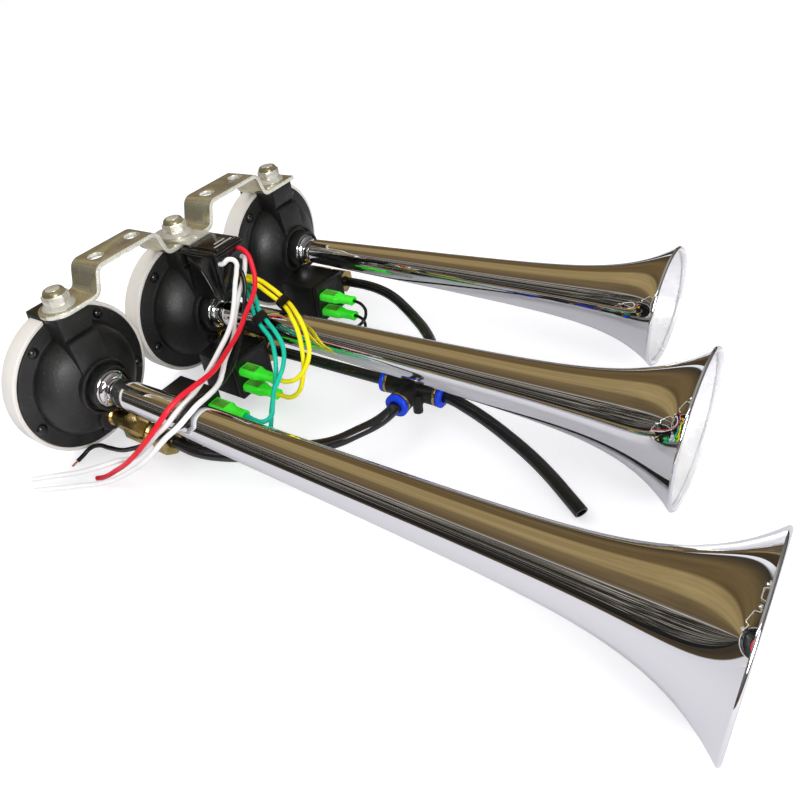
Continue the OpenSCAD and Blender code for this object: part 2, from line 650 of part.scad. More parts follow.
module sleeves(h) {
    wire_hole = (h[0] == 1 ? thin_d : link_d) + 2 * fit;
    color("limegreen") at_stem(h) for (s = [-1, 1]) translate(spade_at(h, s)) difference() {
        hull() {
            sleeve_slab(fit, sleeve_w, sleeve_t);
            sleeve_slab(sleeve_l * 0.55, sleeve_w, sleeve_t);
            sleeve_slab(sleeve_l * 0.8, sleeve_t, sleeve_t * 0.9);
            sleeve_slab(sleeve_l, sleeve_t * 0.9, sleeve_t * 0.86);
        }
        translate([-1, -spade_w / 2 - 2 * fit, -1]) cube([spade_reach + 3, spade_w + 4 * fit, 2]);
        on_x() translate([0, 0, spade_reach]) cylinder(d = wire_hole, h = sleeve_l);
    }
}

module relay_strap() {
    color("lightgray") difference() {
        union() {
            translate([stud_x - strap_w / 2, 0, tab_z]) cylinder(d = strap_w, h = strap_t);
            translate([stud_x - strap_w / 2, -strap_w / 2, tab_z])
                cube([strap_front - stud_x + strap_w / 2, strap_w, strap_t]);
            translate([strap_front - 4, 0, tab_z - 2]) cylinder(d = 3, h = 2 + cut);
            translate([strap_front - 4, 0, tab_z + strap_t]) rotate_extrude() polygon(concat([[0, -cut]],
                [for (a = [0:15:90]) [2.6 * cos(a), 1.4 * sin(a)]]));
        }
        translate([stud_x, 0, tab_z - 1]) cylinder(d = stud_d + 4 * fit, h = 4);
    }
}

module relay_box() {
    front = relay_x + relay_l;
    bottom = relay_top - relay_h;
    face = front - lid_step;
    exits = [[R_RED[0], lead_d], [R_BLACK[0], black_lead_d], [R_WHITE_UPPER[0], lead_d],
        [R_WHITE_LOWER[0], lead_d], [R_YELLOW_UPPER[0], link_d], [R_YELLOW_LOWER[0], link_d],
        [R_TEAL_UPPER[0], link_d], [R_TEAL_LOWER[0], link_d]];
    risers = [R_LINK_UPPER[len(R_LINK_UPPER) - 1], R_LINK_LOWER[len(R_LINK_LOWER) - 1]];
    color([0.08, 0.08, 0.09]) difference() {
        union() {
            // Lid with a stepped edge over the slimmer body
            translate([(relay_x + front) / 2, 0, relay_top - lid_h])
                linear_extrude(height = lid_h - 0.8) polygon(slab_points(relay_l, relay_w, 1));
            translate([(relay_x + front) / 2, 0, relay_top - 1])
                linear_extrude(height = 1) polygon(slab_points(relay_l - 1.2, relay_w - 1.2, 1));
            translate([(body_back + face) / 2, 0, bottom + 4])
                linear_extrude(height = relay_h - 4.5)
                    polygon(slab_points(face - body_back, relay_w - 2 * lid_step, 1.5));
            translate([(body_back + face) / 2, 0, bottom])
                linear_extrude(height = 5)
                    polygon(slab_points(face - body_back - 2, relay_w - 2 * lid_step - 2, 1.5));
        }
        for (e = exits) translate([face - plug_hole, e[0][1], e[0][2]]) on_x()
            cylinder(d = e[1] + 2 * fit, h = plug_hole + 1);
        for (r = risers) translate([r[0], r[1] - 1, r[2]]) rotate([-90, 0, 0])
            cylinder(d = thin_d + 2 * fit, h = 8);
        translate([strap_front - 4, 0, tab_z - 2 - fit]) cylinder(d = 3 + 2 * fit, h = 4);
    }
}

// Four ports round the fitting, as turns about Z
PORTS = [0, 90, 180, 270];
ring_t = 1.4;
barrel_reach = port_reach - 4.4;

module at_ports() {
    translate(cross_at) for (a = PORTS) rotate([0, 0, a]) on_x() children();
}

module cross_fitting() {
    color([0.07, 0.07, 0.08]) difference() {
        union() {
            at_ports() cylinder(d = barrel_d, h = barrel_reach);
            translate(cross_at) rotate([0, 0, 45]) translate([-4.5, -4.5, -barrel_d / 2 + 0.6])
                cube([9, 9, barrel_d - 1.2]);
            translate(cross_at + [5.5, -6, -post_l]) cylinder(d = 5.2, h = post_l);
            translate(cross_at + [5.5, -6, -4]) cylinder(d = 6.4, h = 6);
        }
        at_ports() cylinder(d = 4.4, h = barrel_reach + 1);
        at_ports() translate([0, 0, 5.2]) cylinder(d = tube_d + 2 * tube_fit, h = barrel_reach);
        at_ports() translate([0, 0, 10.4]) cylinder(d = release_d - 3.6 + 2 * fit, h = barrel_reach);
    }
}

module fitting_rings() {
    color("goldenrod") at_ports() translate([0, 0, barrel_reach]) difference() {
        cylinder(d = barrel_d + 0.3, h = ring_t);
        translate([0, 0, -1]) cylinder(d = release_d - 3.6 + 2 * fit, h = ring_t + 2);
    }
}

module release_collars() {
    color("blue") at_ports() difference() {
        union() {
            translate([0, 0, 11]) cylinder(d = release_d - 3.6, h = port_reach - 12);
            translate([0, 0, barrel_reach + ring_t + 0.2]) rotate_extrude() polygon([
                [0, 0], [release_d / 2 - 0.5, 0], [release_d / 2, 0.5],
                [release_d / 2, port_reach - barrel_reach - ring_t - 0.9],
                [release_d / 2 - 0.9, port_reach - barrel_reach - ring_t - 0.2],
                [0, port_reach - barrel_reach - ring_t - 0.2]]);
        }
        cylinder(d = tube_d + 2 * tube_fit, h = port_reach + 1);
    }
}

module tube_long() {
    color("black") route_tube(R_TUBE_LONG, tube_d, 10);
}

module tube_middle() {
    color("black") route_tube(R_TUBE_MIDDLE, tube_d, 10);
}

module tube_short() {
    color("black") route_tube(R_TUBE_SHORT, tube_d, 10);
}

module supply_tube() {
    color("black") route_tube(R_SUPPLY, tube_d, 10);
}

module yellow_wires() {
    color("gold") {
        route_tube(R_YELLOW_UPPER, link_d);
        route_tube(R_YELLOW_LOWER, link_d);
    }
}

module teal_wires() {
    color("teal") {
        route_tube(R_TEAL_UPPER, link_d);
        route_tube(R_TEAL_LOWER, link_d);
    }
}

module link_wires() {
    color("black") {
        route_tube(R_LINK_UPPER, thin_d);
        route_tube(R_LINK_LOWER, thin_d);
    }
}

// Tape bands round the yellow and the teal pair
module wire_wraps() {
    wrap_t = 0.5;
    inner = link_d + 2 * fit;
    pairs = [[R_YELLOW_UPPER, R_YELLOW_LOWER, 4], [R_TEAL_UPPER, R_TEAL_LOWER, 4]];
    color([0.05, 0.05, 0.05]) for (w = pairs) {
        a = w[0][w[2]];
        b = w[0][w[2] + 1];
        c = w[1][w[2]];
        d = w[1][w[2] + 1];
        along = unit((b - a) + (d - c));
        mid = (a + b + c + d) / 4;
        gap = (c + d - a - b) / 2;
        across = unit(gap - along * (gap * along));
        third = cross(along, across);
        half_gap = norm(gap) / 2;
        multmatrix([
            [along[0], across[0], third[0], mid[0]], [along[1], across[1], third[1], mid[1]],
            [along[2], across[2], third[2], mid[2]], [0, 0, 0, 1]
        ]) rotate([90, 0, 90]) linear_extrude(height = 7, center = true) difference() {
            polygon(slab_points(2 * half_gap + inner + 2 * wrap_t + 0.8, inner + 2 * wrap_t + 0.8,
                inner / 2 + wrap_t + 0.3, 5));
            polygon(slab_points(2 * half_gap + inner + 0.8, inner + 0.8, inner / 2 + 0.3, 5));
        }
    }
}

module red_wire() {
    color("red") route_tube(R_RED, lead_d);
}

module black_wire() {
    color("black") route_tube(R_BLACK, black_lead_d);
}

module white_wire_upper() {
    color("white") route_tube(R_WHITE_UPPER, lead_d);
}

module white_wire_lower() {
    color("white") route_tube(R_WHITE_LOWER, lead_d);
}

drawing() {
    trumpet(LONG);  // trumpet_long
    trumpet(MIDDLE);  // trumpet_middle
    trumpet(SHORT);  // trumpet_short
    bell(LONG);  // bell_long
    bell(MIDDLE);  // bell_middle
    bell(SHORT);  // bell_short
    neck_ring(LONG);  // neck_ring_long
    neck_ring(MIDDLE);  // neck_ring_middle
    neck_ring(SHORT);  // neck_ring_short
    housing(LONG);  // housing_long
    housing(MIDDLE);  // housing_middle
    housing(SHORT);  // housing_short
    cover(LONG);  // cover_long
    cover(MIDDLE);  // cover_middle
    cover(SHORT);  // cover_short
    diaphragm(LONG);  // diaphragm_long
    diaphragm(MIDDLE);  // diaphragm_middle
    diaphragm(SHORT);  // diaphragm_short
    gasket(LONG);  // gasket_long
    gasket(MIDDLE);  // gasket_middle
    gasket(SHORT);  // gasket_short
    valve_box(LONG);  // valve_box_long
    valve_box(MIDDLE);  // valve_box_middle
    valve_box(SHORT);  // valve_box_short
    valve_stem(LONG);  // valve_stem_long
    valve_stem(MIDDLE);  // valve_stem_middle
    valve_stem(SHORT);  // valve_stem_short
    inlet_nut(LONG);  // inlet_nut_long
    inlet_nut(MIDDLE);  // inlet_nut_middle
    inlet_nut(SHORT);  // inlet_nut_short
    sleeves(LONG);  // sleeves_long
    sleeves(MIDDLE);  // sleeves_middle
    sleeves(SHORT);  // sleeves_short
    valve_terminals();
    cover_rivets();
    lug_studs();
    bracket();
    bracket_nuts();
    relay_strap();
    relay_box();
    cross_fitting();
    fitting_rings();
    release_collars();
    tube_long();
    tube_middle();
    tube_short();
    supply_tube();
    yellow_wires();
    teal_wires();
    link_wires();
    wire_wraps();
    red_wire();
    black_wire();
    white_wire_upper();
    white_wire_lower();
}
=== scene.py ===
"""A three-trumpet electric air horn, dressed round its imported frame."""
import math

import bmesh
import bpy
from mathutils import Matrix, Vector


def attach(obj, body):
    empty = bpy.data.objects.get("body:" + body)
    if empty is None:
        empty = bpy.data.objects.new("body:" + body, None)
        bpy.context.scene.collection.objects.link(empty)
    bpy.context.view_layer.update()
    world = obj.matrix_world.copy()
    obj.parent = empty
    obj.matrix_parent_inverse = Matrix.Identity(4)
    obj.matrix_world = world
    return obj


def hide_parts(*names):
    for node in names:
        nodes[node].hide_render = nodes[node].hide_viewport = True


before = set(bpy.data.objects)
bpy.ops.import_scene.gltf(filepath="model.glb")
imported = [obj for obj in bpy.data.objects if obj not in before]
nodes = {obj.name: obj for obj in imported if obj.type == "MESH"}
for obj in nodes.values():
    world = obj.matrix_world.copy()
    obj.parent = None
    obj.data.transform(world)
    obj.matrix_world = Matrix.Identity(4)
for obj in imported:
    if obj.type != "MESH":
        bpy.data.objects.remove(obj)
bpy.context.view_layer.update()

MM = 0.001
MERGE = 1e-6
ZERO = Vector((-154.6, 0.0, 44.0))  # the working drawing's zero, in the row frame, in mm

# The row of horns, as the part's source has it: the side is the one that the valve's spades lie on
PITCH = 88.4
HORNS = {
    "long": {"y": -PITCH, "length": 325.0, "mouth": 72.0, "box": 43.0, "side": 1},
    "middle": {"y": 0.0, "length": 288.0, "mouth": 68.0, "box": 36.0, "side": -1},
    "short": {"y": PITCH, "length": 253.0, "mouth": 60.0, "box": 28.6, "side": -1},
}
FIT = 0.15
# Trumpets: the tapered pipe, the flare, the sheet's wall and the rolled rim
PIPE_D, TAPER_D, FLARE_REACH, PIPE_START, BELL_L = 16.0, 28.6, 20.0, 32.0, 60.0
WALL, RIM_BEAD = 1.0, 2.4
NECK_R, SPIGOT_X, SEAT, NECK_FLANGE_R, NECK_FLANGE = 6.5, 8.0, 21.5, 10.0, 1.4
# Housings: radii, and distances from the flange's face
FLANGE_R, FLANGE_T, COVER_R = 41.5, 3.0, 44.0
DOME_R, DOME_H, COLLAR_R, COLLAR_X = 33.0, 19.0, 16.0, 20.5
GROOVE_X, INNER_R, INNER_X = 18.0, 12.7, 26.0
RIVETS, RIVET_CIRCLE, RIVET_R, RIVET_H = 5, 37.6, 3.3, 2.2
# Lug, bracket and nuts
STUD_X, LUG_TOP, LUG_W, STRIP_T, STRAP_T = 4.3, 45.6, 19.0, 2.5, 1.2
NUT_BORE_R, HEX_R, HEX_H, HEX_MIDDLE = 4.15, 7.5, 6.6, 4.4
# Valves, their spades and the four-way fitting
STEM_SIDE, STEM_DROP = 1.5, 20.5
BOX_L, BOX_W, CAP_L = 29.0, 28.0, 3.0
BRASS_AF, SPADE_SIDE, SPADE_PITCH, SLEEVE_L = 14.0, 8.0, 11.0, 24.0
CROSS = (158.0, 3.0, -21.0)
PORT_REACH = 18.2
# Tubes, wires and the pieces at their cut ends
TUBE_D, LEAD_D, BLACK_D, LINK_D, THIN_D = 6.4, 2.8, 2.6, 2.6, 2.0
OPEN_END = 3.0
STRANDS, STRAND_SHARE, STRAND_CIRCLE = 7, 0.34, 0.66


def at(point):
    """A point of the drawing, in mm, as a point of the row frame in metres."""
    return (Vector(point) + ZERO) * MM


def stem_y(horn):
    """Where the brass stem and the valve's nut lie across the row."""
    return horn["y"] - horn["side"] * STEM_SIDE


def spade_y(horn):
    """Where the valve's two spades lie across the row."""
    return stem_y(horn) + horn["side"] * (BRASS_AF / 2 + FIT + BOX_W / 2 + SPADE_SIDE)


def nut_end(horn):
    """The start of an air tube, inside its valve's nut."""
    x = horn["box"] + BOX_L - CAP_L
    return [(x - 5, stem_y(horn), -STEM_DROP), (x + 3, stem_y(horn), -STEM_DROP)]


def sleeve_end(horn, level):
    """The end of a wire, inside the upper (1) or lower (-1) sleeve."""
    x, z = horn["box"] + BOX_L + SLEEVE_L, -STEM_DROP + level * SPADE_PITCH / 2
    return [(x + 2, spade_y(horn), z), (x - 7, spade_y(horn), z)]


def port_end(turn):
    """The end of an air tube in one port of the four-way fitting."""
    c, s = math.cos(math.radians(turn)), math.sin(math.radians(turn))
    return [(CROSS[0] + r * c, CROSS[1] + r * s, CROSS[2]) for r in (PORT_REACH + 2.5, 8.0)]


LONG, MIDDLE, SHORT = HORNS["long"], HORNS["middle"], HORNS["short"]

# Camera


CAMERA_PLACE = (325.0, -247.3, 199.6)
CAMERA_ANGLES = (46.53, 33.455, -13.1)  # azimuth, elevation and roll, in degrees
CAMERA_LENS, CAMERA_SHIFT = 31.42, (0.15, -0.031)


def aim_camera():
    """The photograph's camera, near the one that the flanges, the bells and the bracket give."""
    azimuth, elevation, roll = (math.radians(a) for a in CAMERA_ANGLES)
    forward = Vector((-math.sin(azimuth) * math.cos(elevation),
                      math.cos(azimuth) * math.cos(elevation), -math.sin(elevation)))
    level = forward.cross(Vector((0, 0, 1))).normalized()
    right = math.cos(roll) * level + math.sin(roll) * level.cross(forward)
    turn = Matrix((right, right.cross(forward), -forward)).transposed().to_4x4()
    camera = bpy.data.objects.new("camera", bpy.data.cameras.new("camera"))
    bpy.context.scene.collection.objects.link(camera)
    camera.matrix_world = Matrix.Translation(at(CAMERA_PLACE)) @ turn
    camera.data.sensor_width = 36.0
    camera.data.lens = CAMERA_LENS
    camera.data.shift_x, camera.data.shift_y = CAMERA_SHIFT
    camera.data.clip_start, camera.data.clip_end = 0.01, 20.0
    bpy.context.scene.camera = camera


aim_camera()
bpy.context.scene.view_settings.view_transform = "Standard"

# Shader helpers


def new_group(name, inputs, outputs):
    group = bpy.data.node_groups.new(name, "ShaderNodeTree")
    for label, value in inputs:
        kind = "NodeSocketVector" if value is None else "NodeSocketFloat"
        item = group.interface.new_socket(label, in_out="INPUT", socket_type=kind)
        if value is not None:
            item.default_value = value
    for label in outputs:
        group.interface.new_socket(label, in_out="OUTPUT", socket_type="NodeSocketFloat")
    return group, group.nodes.new("NodeGroupInput"), group.nodes.new("NodeGroupOutput")


def feed(tree, socket, value):
    """Gives a socket its value: another node's output, a number or a colour."""
    if isinstance(value, bpy.types.NodeSocket):
        tree.links.new(value, socket)
    else:
        socket.default_value = value


def noise_in(tree, vector, scale, detail, rough):
    node = tree.nodes.new("ShaderNodeTexNoise")
    for label, value in (("Vector", vector), ("Scale", scale), ("Detail", detail), ("Roughness", rough)):
        feed(tree, node.inputs[label], value)
    return node.outputs["Fac"]


def span_in(tree, value, low, high, to_low, to_high):
    """Takes value from the span low to high to the span to_low to to_high, and no further."""
    node = tree.nodes.new("ShaderNodeMapRange")
    for label, wanted in (("Value", value), ("From Min", low), ("From Max", high),
                          ("To Min", to_low), ("To Max", to_high)):
        feed(tree, node.inputs[label], wanted)
    return node.outputs["Result"]


def math_in(tree, operation, *values):
    node = tree.nodes.new("ShaderNodeMath")
    node.operation = operation
    for socket, value in zip(node.inputs, values):
        feed(tree, socket, value)
    return node.outputs[0]


def mix_in(tree, factor, first, second, blend="MIX"):
    """Mixes two colours, with the factor left free to pass 1."""
    node = tree.nodes.new("ShaderNodeMix")
    node.data_type, node.blend_type, node.clamp_factor = "RGBA", blend, False
    for index, value in ((0, factor), (6, first), (7, second)):
        feed(tree, node.inputs[index], value)
    return node.outputs[2]


def ramp_in(tree, value, stops):
    ramp = tree.nodes.new("ShaderNodeValToRGB")
    elements = ramp.color_ramp.elements
    elements.remove(elements[0])
    elements[0].position, elements[0].color = stops[0][0], (*stops[0][1], 1)
    for position, colour in stops[1:]:
        elements.new(position).color = (*colour, 1)
    tree.links.new(value, ramp.inputs["Fac"])
    return ramp.outputs["Color"]


def either_in(tree, factor, first, second):
    """The second shader where factor is 1, else the first."""
    node = tree.nodes.new("ShaderNodeMixShader")
    for socket, value in zip(node.inputs, (factor, first, second)):
        tree.links.new(value, socket)
    return node.outputs[0]


def moulded_grain():
    """Fine pitted grain of moulded plastic: a height, and a slow tone with lighter specks of dust."""
    group, entry, leave = new_group(
        "moulded_grain", [("Vector", None), ("Grain", 900.0), ("Dust", 0.0)], ["Height", "Tone"])
    vector = entry.outputs["Vector"]
    fine = noise_in(group, vector, entry.outputs["Grain"], 4.0, 0.6)
    slow = noise_in(group, vector, 35.0, 3.0, 0.6)
    speck = noise_in(group, vector, 650.0, 1.0, 0.4)
    dust = math_in(group, "MULTIPLY", span_in(group, speck, 0.70, 0.76, 0.0, 1.0), entry.outputs["Dust"])
    tone = math_in(group, "ADD", span_in(group, slow, 0.35, 0.65, 0.0, 1.0), dust)
    group.links.new(fine, leave.inputs["Height"])
    group.links.new(tone, leave.inputs["Tone"])
    return group


def handling():
    """Roughness between Low and High in soft smudges."""
    group, entry, leave = new_group(
        "handling", [("Vector", None), ("Scale", 60.0), ("Low", 0.1), ("High", 0.2)], ["Roughness"])
    smudge = noise_in(group, entry.outputs["Vector"], entry.outputs["Scale"], 5.0, 0.6)
    group.links.new(span_in(group, smudge, 0.4, 0.7, entry.outputs["Low"], entry.outputs["High"]),
                    leave.inputs["Roughness"])
    return group


def rolled_sheet():
    """Faint drawn lines of rolled and plated sheet: a height, and a tone."""
    group, entry, leave = new_group("rolled_sheet", [("Vector", None), ("Lines", 220.0)], ["Height", "Tone"])
    stretch = group.nodes.new("ShaderNodeMapping")
    stretch.inputs["Scale"].default_value = (1.0, 0.04, 1.0)
    group.links.new(entry.outputs["Vector"], stretch.inputs["Vector"])
    lines = noise_in(group, stretch.outputs["Vector"], entry.outputs["Lines"], 4.0, 0.7)
    cloud = noise_in(group, entry.outputs["Vector"], 90.0, 4.0, 0.6)
    group.links.new(lines, leave.inputs["Height"])
    group.links.new(span_in(group, cloud, 0.35, 0.7, 0.0, 1.0), leave.inputs["Tone"])
    return group


GRAIN, HANDLING, SHEET = moulded_grain(), handling(), rolled_sheet()


class Finish:
    """A material with one Principled shader, built up by the calls that its maker makes."""

    def __init__(self, name, colour, roughness, metallic=0.0, coat=0.0, specular=0.5):
        self.material = bpy.data.materials.new(name)
        self.material.use_nodes = True
        self.material.diffuse_color = (*colour, 1.0)
        self.tree = self.material.node_tree
        self.shader = self.tree.nodes["Principled BSDF"]
        self.feed({"Base Color": (*colour, 1.0), "Roughness": roughness, "Metallic": metallic,
                   "Coat Weight": coat, "Coat Roughness": 0.06, "Specular IOR Level": specular})
        self.coords = self.tree.nodes.new("ShaderNodeTexCoord").outputs["Object"]

    def feed(self, values):
        for label, value in values.items():
            feed(self.tree, self.shader.inputs[label], value)

    def group(self, group, **values):
        node = self.tree.nodes.new("ShaderNodeGroup")
        node.node_tree = group
        self.tree.links.new(self.coords, node.inputs["Vector"])
        for label, value in values.items():
            node.inputs[label].default_value = value
        return node

    def smudged(self, low, high, scale=60.0):
        node = self.group(HANDLING, Scale=scale, Low=low, High=high)
        self.feed({"Roughness": node.outputs["Roughness"]})
        return self

    def tinted(self, value, dark, light):
        """Colour between dark and light by a value, which may pass 1 on a speck."""
        self.feed({"Base Color": mix_in(self.tree, value, (*dark, 1.0), (*light, 1.0))})

    def bumped(self, height, strength, distance):
        bump = self.tree.nodes.new("ShaderNodeBump")
        for label, value in (("Height", height), ("Strength", strength), ("Distance", distance)):
            feed(self.tree, bump.inputs[label], value)
        self.feed({"Normal": bump.outputs["Normal"]})


def moulded(name, dark, light, low, high, grain=900.0, strength=0.25, coat=0.0, specular=0.5, dust=0.0):
    """Moulded plastic, its roughness between low and high."""
    finish = Finish(name, light, low, coat=coat, specular=specular).smudged(low, high)
    node = finish.group(GRAIN, Grain=grain, Dust=dust)
    finish.tinted(node.outputs["Tone"], dark, light)
    finish.bumped(node.outputs["Height"], strength, 0.0002)
    return finish.material


def plated(name, dark, light, low, high, lines=220.0, strength=0.08, metallic=1.0):
    """Plated or bare metal, its roughness between low and high."""
    finish = Finish(name, light, low, metallic=metallic).smudged(low, high, 120.0)
    node = finish.group(SHEET, Lines=lines)
    finish.tinted(node.outputs["Tone"], dark, light)
    finish.bumped(node.outputs["Height"], strength, 0.0002)
    return finish.material


def chromed():
    """Bright chrome, with the slow waves of a spun sheet."""
    finish = Finish("bright_chrome", (0.86, 0.86, 0.88), 0.03, metallic=1.0).smudged(0.015, 0.05, 25.0)
    wave = noise_in(finish.tree, finish.coords, 22.0, 2.0, 0.5)
    finish.bumped(wave, 0.04, 0.002)
    return finish.material


def mouth_painted_glare():
    """Painted glare: a whiter, softer, less metallic copy of the chrome inside a bell's mouth."""
    finish = Finish("mouth_painted_glare", (0.90, 0.90, 0.91), 0.26, metallic=0.25).smudged(0.22, 0.36, 40.0)
    cloud = finish.group(SHEET, Lines=60.0)
    finish.tinted(cloud.outputs["Tone"], (0.80, 0.80, 0.82), (0.92, 0.92, 0.93))
    return finish.material


def insulation(name, dark, light, low=0.28, high=0.42):
    return moulded(name, dark, light, low, high, grain=500.0, strength=0.06, coat=0.06, specular=0.3)


def sleeve_green(name, dark, light):
    """Clear green plastic with a painted glow: bright at its walls, and in its darker copy painted shade where one
    looks in at the terminal.
    """
    finish = Finish(name, light, 0.12, coat=0.5).smudged(0.06, 0.16, 150.0)
    node = finish.group(SHEET, Lines=200.0)
    finish.tinted(node.outputs["Tone"], dark, light)
    # The emission is a painted glow, for light that passes through the plastic
    finish.feed({"Transmission Weight": 0.10, "IOR": 1.46,
                 "Emission Color": (*light, 1.0), "Emission Strength": 0.14})
    finish.bumped(node.outputs["Height"], 0.10, 0.0003)
    return finish.material


# The bells' insides take painted glare: a whiter, softer copy of the chrome
CHROME, MOUTH_PAINTED_GLARE = chromed(), mouth_painted_glare()
BLACK_TEXTURED = moulded("black_textured", (0.006, 0.006, 0.006), (0.014, 0.014, 0.014), 0.36, 0.48,
                         grain=800.0, strength=1.0, specular=0.6, dust=5.0)
BLACK_SATIN = moulded("black_satin", (0.005, 0.005, 0.005), (0.012, 0.012, 0.011), 0.28, 0.42, specular=0.35)
RIVET_BLACK = moulded("rivet_black", (0.004, 0.004, 0.004), (0.010, 0.010, 0.010), 0.16, 0.28,
                      grain=600.0, strength=0.10, coat=0.3)
BLACK_GLOSS = moulded("black_gloss", (0.004, 0.004, 0.004), (0.009, 0.009, 0.010), 0.10, 0.22,
                      grain=500.0, strength=0.06, coat=0.15)
BLACK_TUBE = moulded("black_tube", (0.004, 0.004, 0.005), (0.010, 0.010, 0.011), 0.10, 0.22,
                     grain=400.0, strength=0.05, coat=0.4)
BLACK_TAPE = moulded("black_tape", (0.004, 0.004, 0.004), (0.010, 0.010, 0.010), 0.35, 0.5,
                     grain=700.0, strength=0.3, specular=0.3)
WHITE_COVER = moulded("white_cover", (0.78, 0.75, 0.705), (0.84, 0.81, 0.77), 0.34, 0.48,
                      grain=500.0, strength=0.10)
ZINC = plated("zinc_plate", (0.70, 0.68, 0.59), (0.88, 0.87, 0.81), 0.24, 0.36, metallic=0.55)
BRACKET_PLATE = plated("bracket_plate", (0.46, 0.43, 0.29), (0.68, 0.64, 0.48), 0.14, 0.24,
                       lines=260.0, strength=0.05, metallic=0.75)
# Painted highlight: a brighter, whiter, less metallic copy of the bracket's plate for its edges and folds
BRACKET_PAINTED_HIGHLIGHT = plated("bracket_painted_highlight", (0.82, 0.82, 0.72), (0.90, 0.90, 0.82), 0.24, 0.36,
                      lines=260.0, strength=0.05, metallic=0.4)
LOCK_RING = plated("lock_ring", (0.30, 0.26, 0.14), (0.56, 0.51, 0.34), 0.28, 0.42, metallic=0.7)
BRASS = plated("turned_brass", (0.56, 0.39, 0.12), (0.86, 0.67, 0.28), 0.16, 0.28, lines=150.0, strength=0.06)
BRASS_DARK = plated("dark_brass", (0.34, 0.25, 0.09), (0.74, 0.57, 0.24), 0.18, 0.32, lines=150.0)
SPRING = plated("clip_steel", (0.66, 0.65, 0.60), (0.86, 0.85, 0.82), 0.2, 0.32, metallic=0.6)
COPPER = plated("bare_copper", (0.55, 0.25, 0.12), (0.85, 0.45, 0.25), 0.25, 0.4)
BLUE = moulded("collar_blue", (0.005, 0.045, 0.66), (0.010, 0.075, 0.86), 0.16, 0.28,
               grain=400.0, strength=0.06, coat=0.12, specular=0.3)
GREEN = sleeve_green("clear_green", (0.02, 0.82, 0.02), (0.08, 0.96, 0.05))
# Painted shade: a darker copy of the green for the sleeves' insides seen through their wide faces
GREEN_PAINTED_SHADE = sleeve_green("green_painted_shade", (0.02, 0.14, 0.01), (0.14, 0.52, 0.05))
RED = insulation("insulation_red", (0.68, 0.006, 0.020), (0.84, 0.012, 0.034))
WHITE = insulation("insulation_white", (0.84, 0.84, 0.84), (0.91, 0.91, 0.91))
YELLOW = insulation("insulation_yellow", (0.94, 0.78, 0.005), (1.0, 0.90, 0.010))
TEAL = insulation("insulation_teal", (0.003, 0.44, 0.30), (0.008, 0.60, 0.42))
BLACK_WIRE = insulation("insulation_black", (0.006, 0.006, 0.006), (0.014, 0.014, 0.014), 0.2, 0.34)

# Cords and tubes


def round_curve(name, points, radius, material, sides, steps):
    """A round curve on one smooth spline through points of the drawing."""
    curve = bpy.data.curves.new(name, "CURVE")
    curve.dimensions = "3D"
    curve.bevel_depth = radius * MM
    curve.bevel_resolution = sides
    curve.resolution_u = steps
    curve.use_fill_caps = True
    spline = curve.splines.new("BEZIER")
    spline.bezier_points.add(len(points) - 1)
    for knot, point in zip(spline.bezier_points, points):
        knot.co = at(point)
        knot.handle_left_type = knot.handle_right_type = "AUTO"
    curve.materials.append(material)
    piece = bpy.data.objects.new(name, curve)
    bpy.context.scene.collection.objects.link(piece)
    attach(piece, "root")
    return piece


def strand(name, points, diameter, material, node):
    """A tube or wire in place of a CAD node."""
    piece = round_curve(name, points, diameter / 2, material, 6, 10)
    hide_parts(node)
    return piece


def finish_mesh(name, bm, material, *replaced, flat_angle=32.0):
    """Makes the bmesh a piece of the horn, smooth but for its sharp edges."""
    bmesh.ops.recalc_face_normals(bm, faces=bm.faces)
    mesh = bpy.data.meshes.new(name)
    bm.to_mesh(mesh)
    bm.free()
    for polygon in mesh.polygons:
        polygon.use_smooth = True
    mesh.set_sharp_from_angle(angle=math.radians(flat_angle))
    for one in material if isinstance(material, (list, tuple)) else (material,):
        mesh.materials.append(one)
    piece = bpy.data.objects.new(name, mesh)
    bpy.context.scene.collection.objects.link(piece)
    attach(piece, "root")
    if replaced:
        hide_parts(*replaced)
    return piece


def pour(bm, part):
    """Adds a finished part to a bmesh."""
    carry = bpy.data.meshes.new("carry")
    part.to_mesh(carry)
    part.free()
    bm.from_mesh(carry)
    bpy.data.meshes.remove(carry)


def spun(bm, profile, place, steps=64):
    """Adds a turned form: profile is (radius, height) pairs round Z, put in place by a matrix."""
    part = bmesh.new()
    verts = [part.verts.new((radius * MM, 0.0, height * MM)) for radius, height in profile]
    edges = [part.edges.new(pair) for pair in zip(verts, verts[1:])]
    bmesh.ops.spin(part, geom=verts + edges, cent=(0, 0, 0), axis=(0, 0, 1), dvec=(0, 0, 0),
                   angle=math.tau, steps=steps, use_merge=True, use_duplicate=False)
    bmesh.ops.transform(part, matrix=place, verts=part.verts)
    bmesh.ops.remove_doubles(part, verts=part.verts, dist=MERGE)
    pour(bm, part)


def along_x(point):
    """Puts a form that is drawn round Z on a line along X through a point of the drawing."""
    return Matrix.Translation(at(point)) @ Matrix.Rotation(math.radians(90), 4, "Y")


def soften(bm, width, angle=30.0, segments=2, edges=None):
    """Rounds the edges that turn by more than angle."""
    sharp = [e for e in (edges or bm.edges) if len(e.link_faces) == 2
             and e.calc_face_angle(0.0) > math.radians(angle)]
    bmesh.ops.bevel(bm, geom=sharp, offset=width * MM, offset_type="OFFSET", segments=segments,
                    profile=0.5, affect="EDGES", clamp_overlap=True, material=-1)


def block(bm, low, high):
    """Adds a box between two corners of the drawing and returns its vertices."""
    made = bmesh.ops.create_cube(bm, size=1.0)["verts"]
    size = (Vector(high) - Vector(low)) * MM
    bmesh.ops.scale(bm, vec=size, verts=made)
    bmesh.ops.translate(bm, vec=(at(low) + at(high)) / 2, verts=made)
    return made


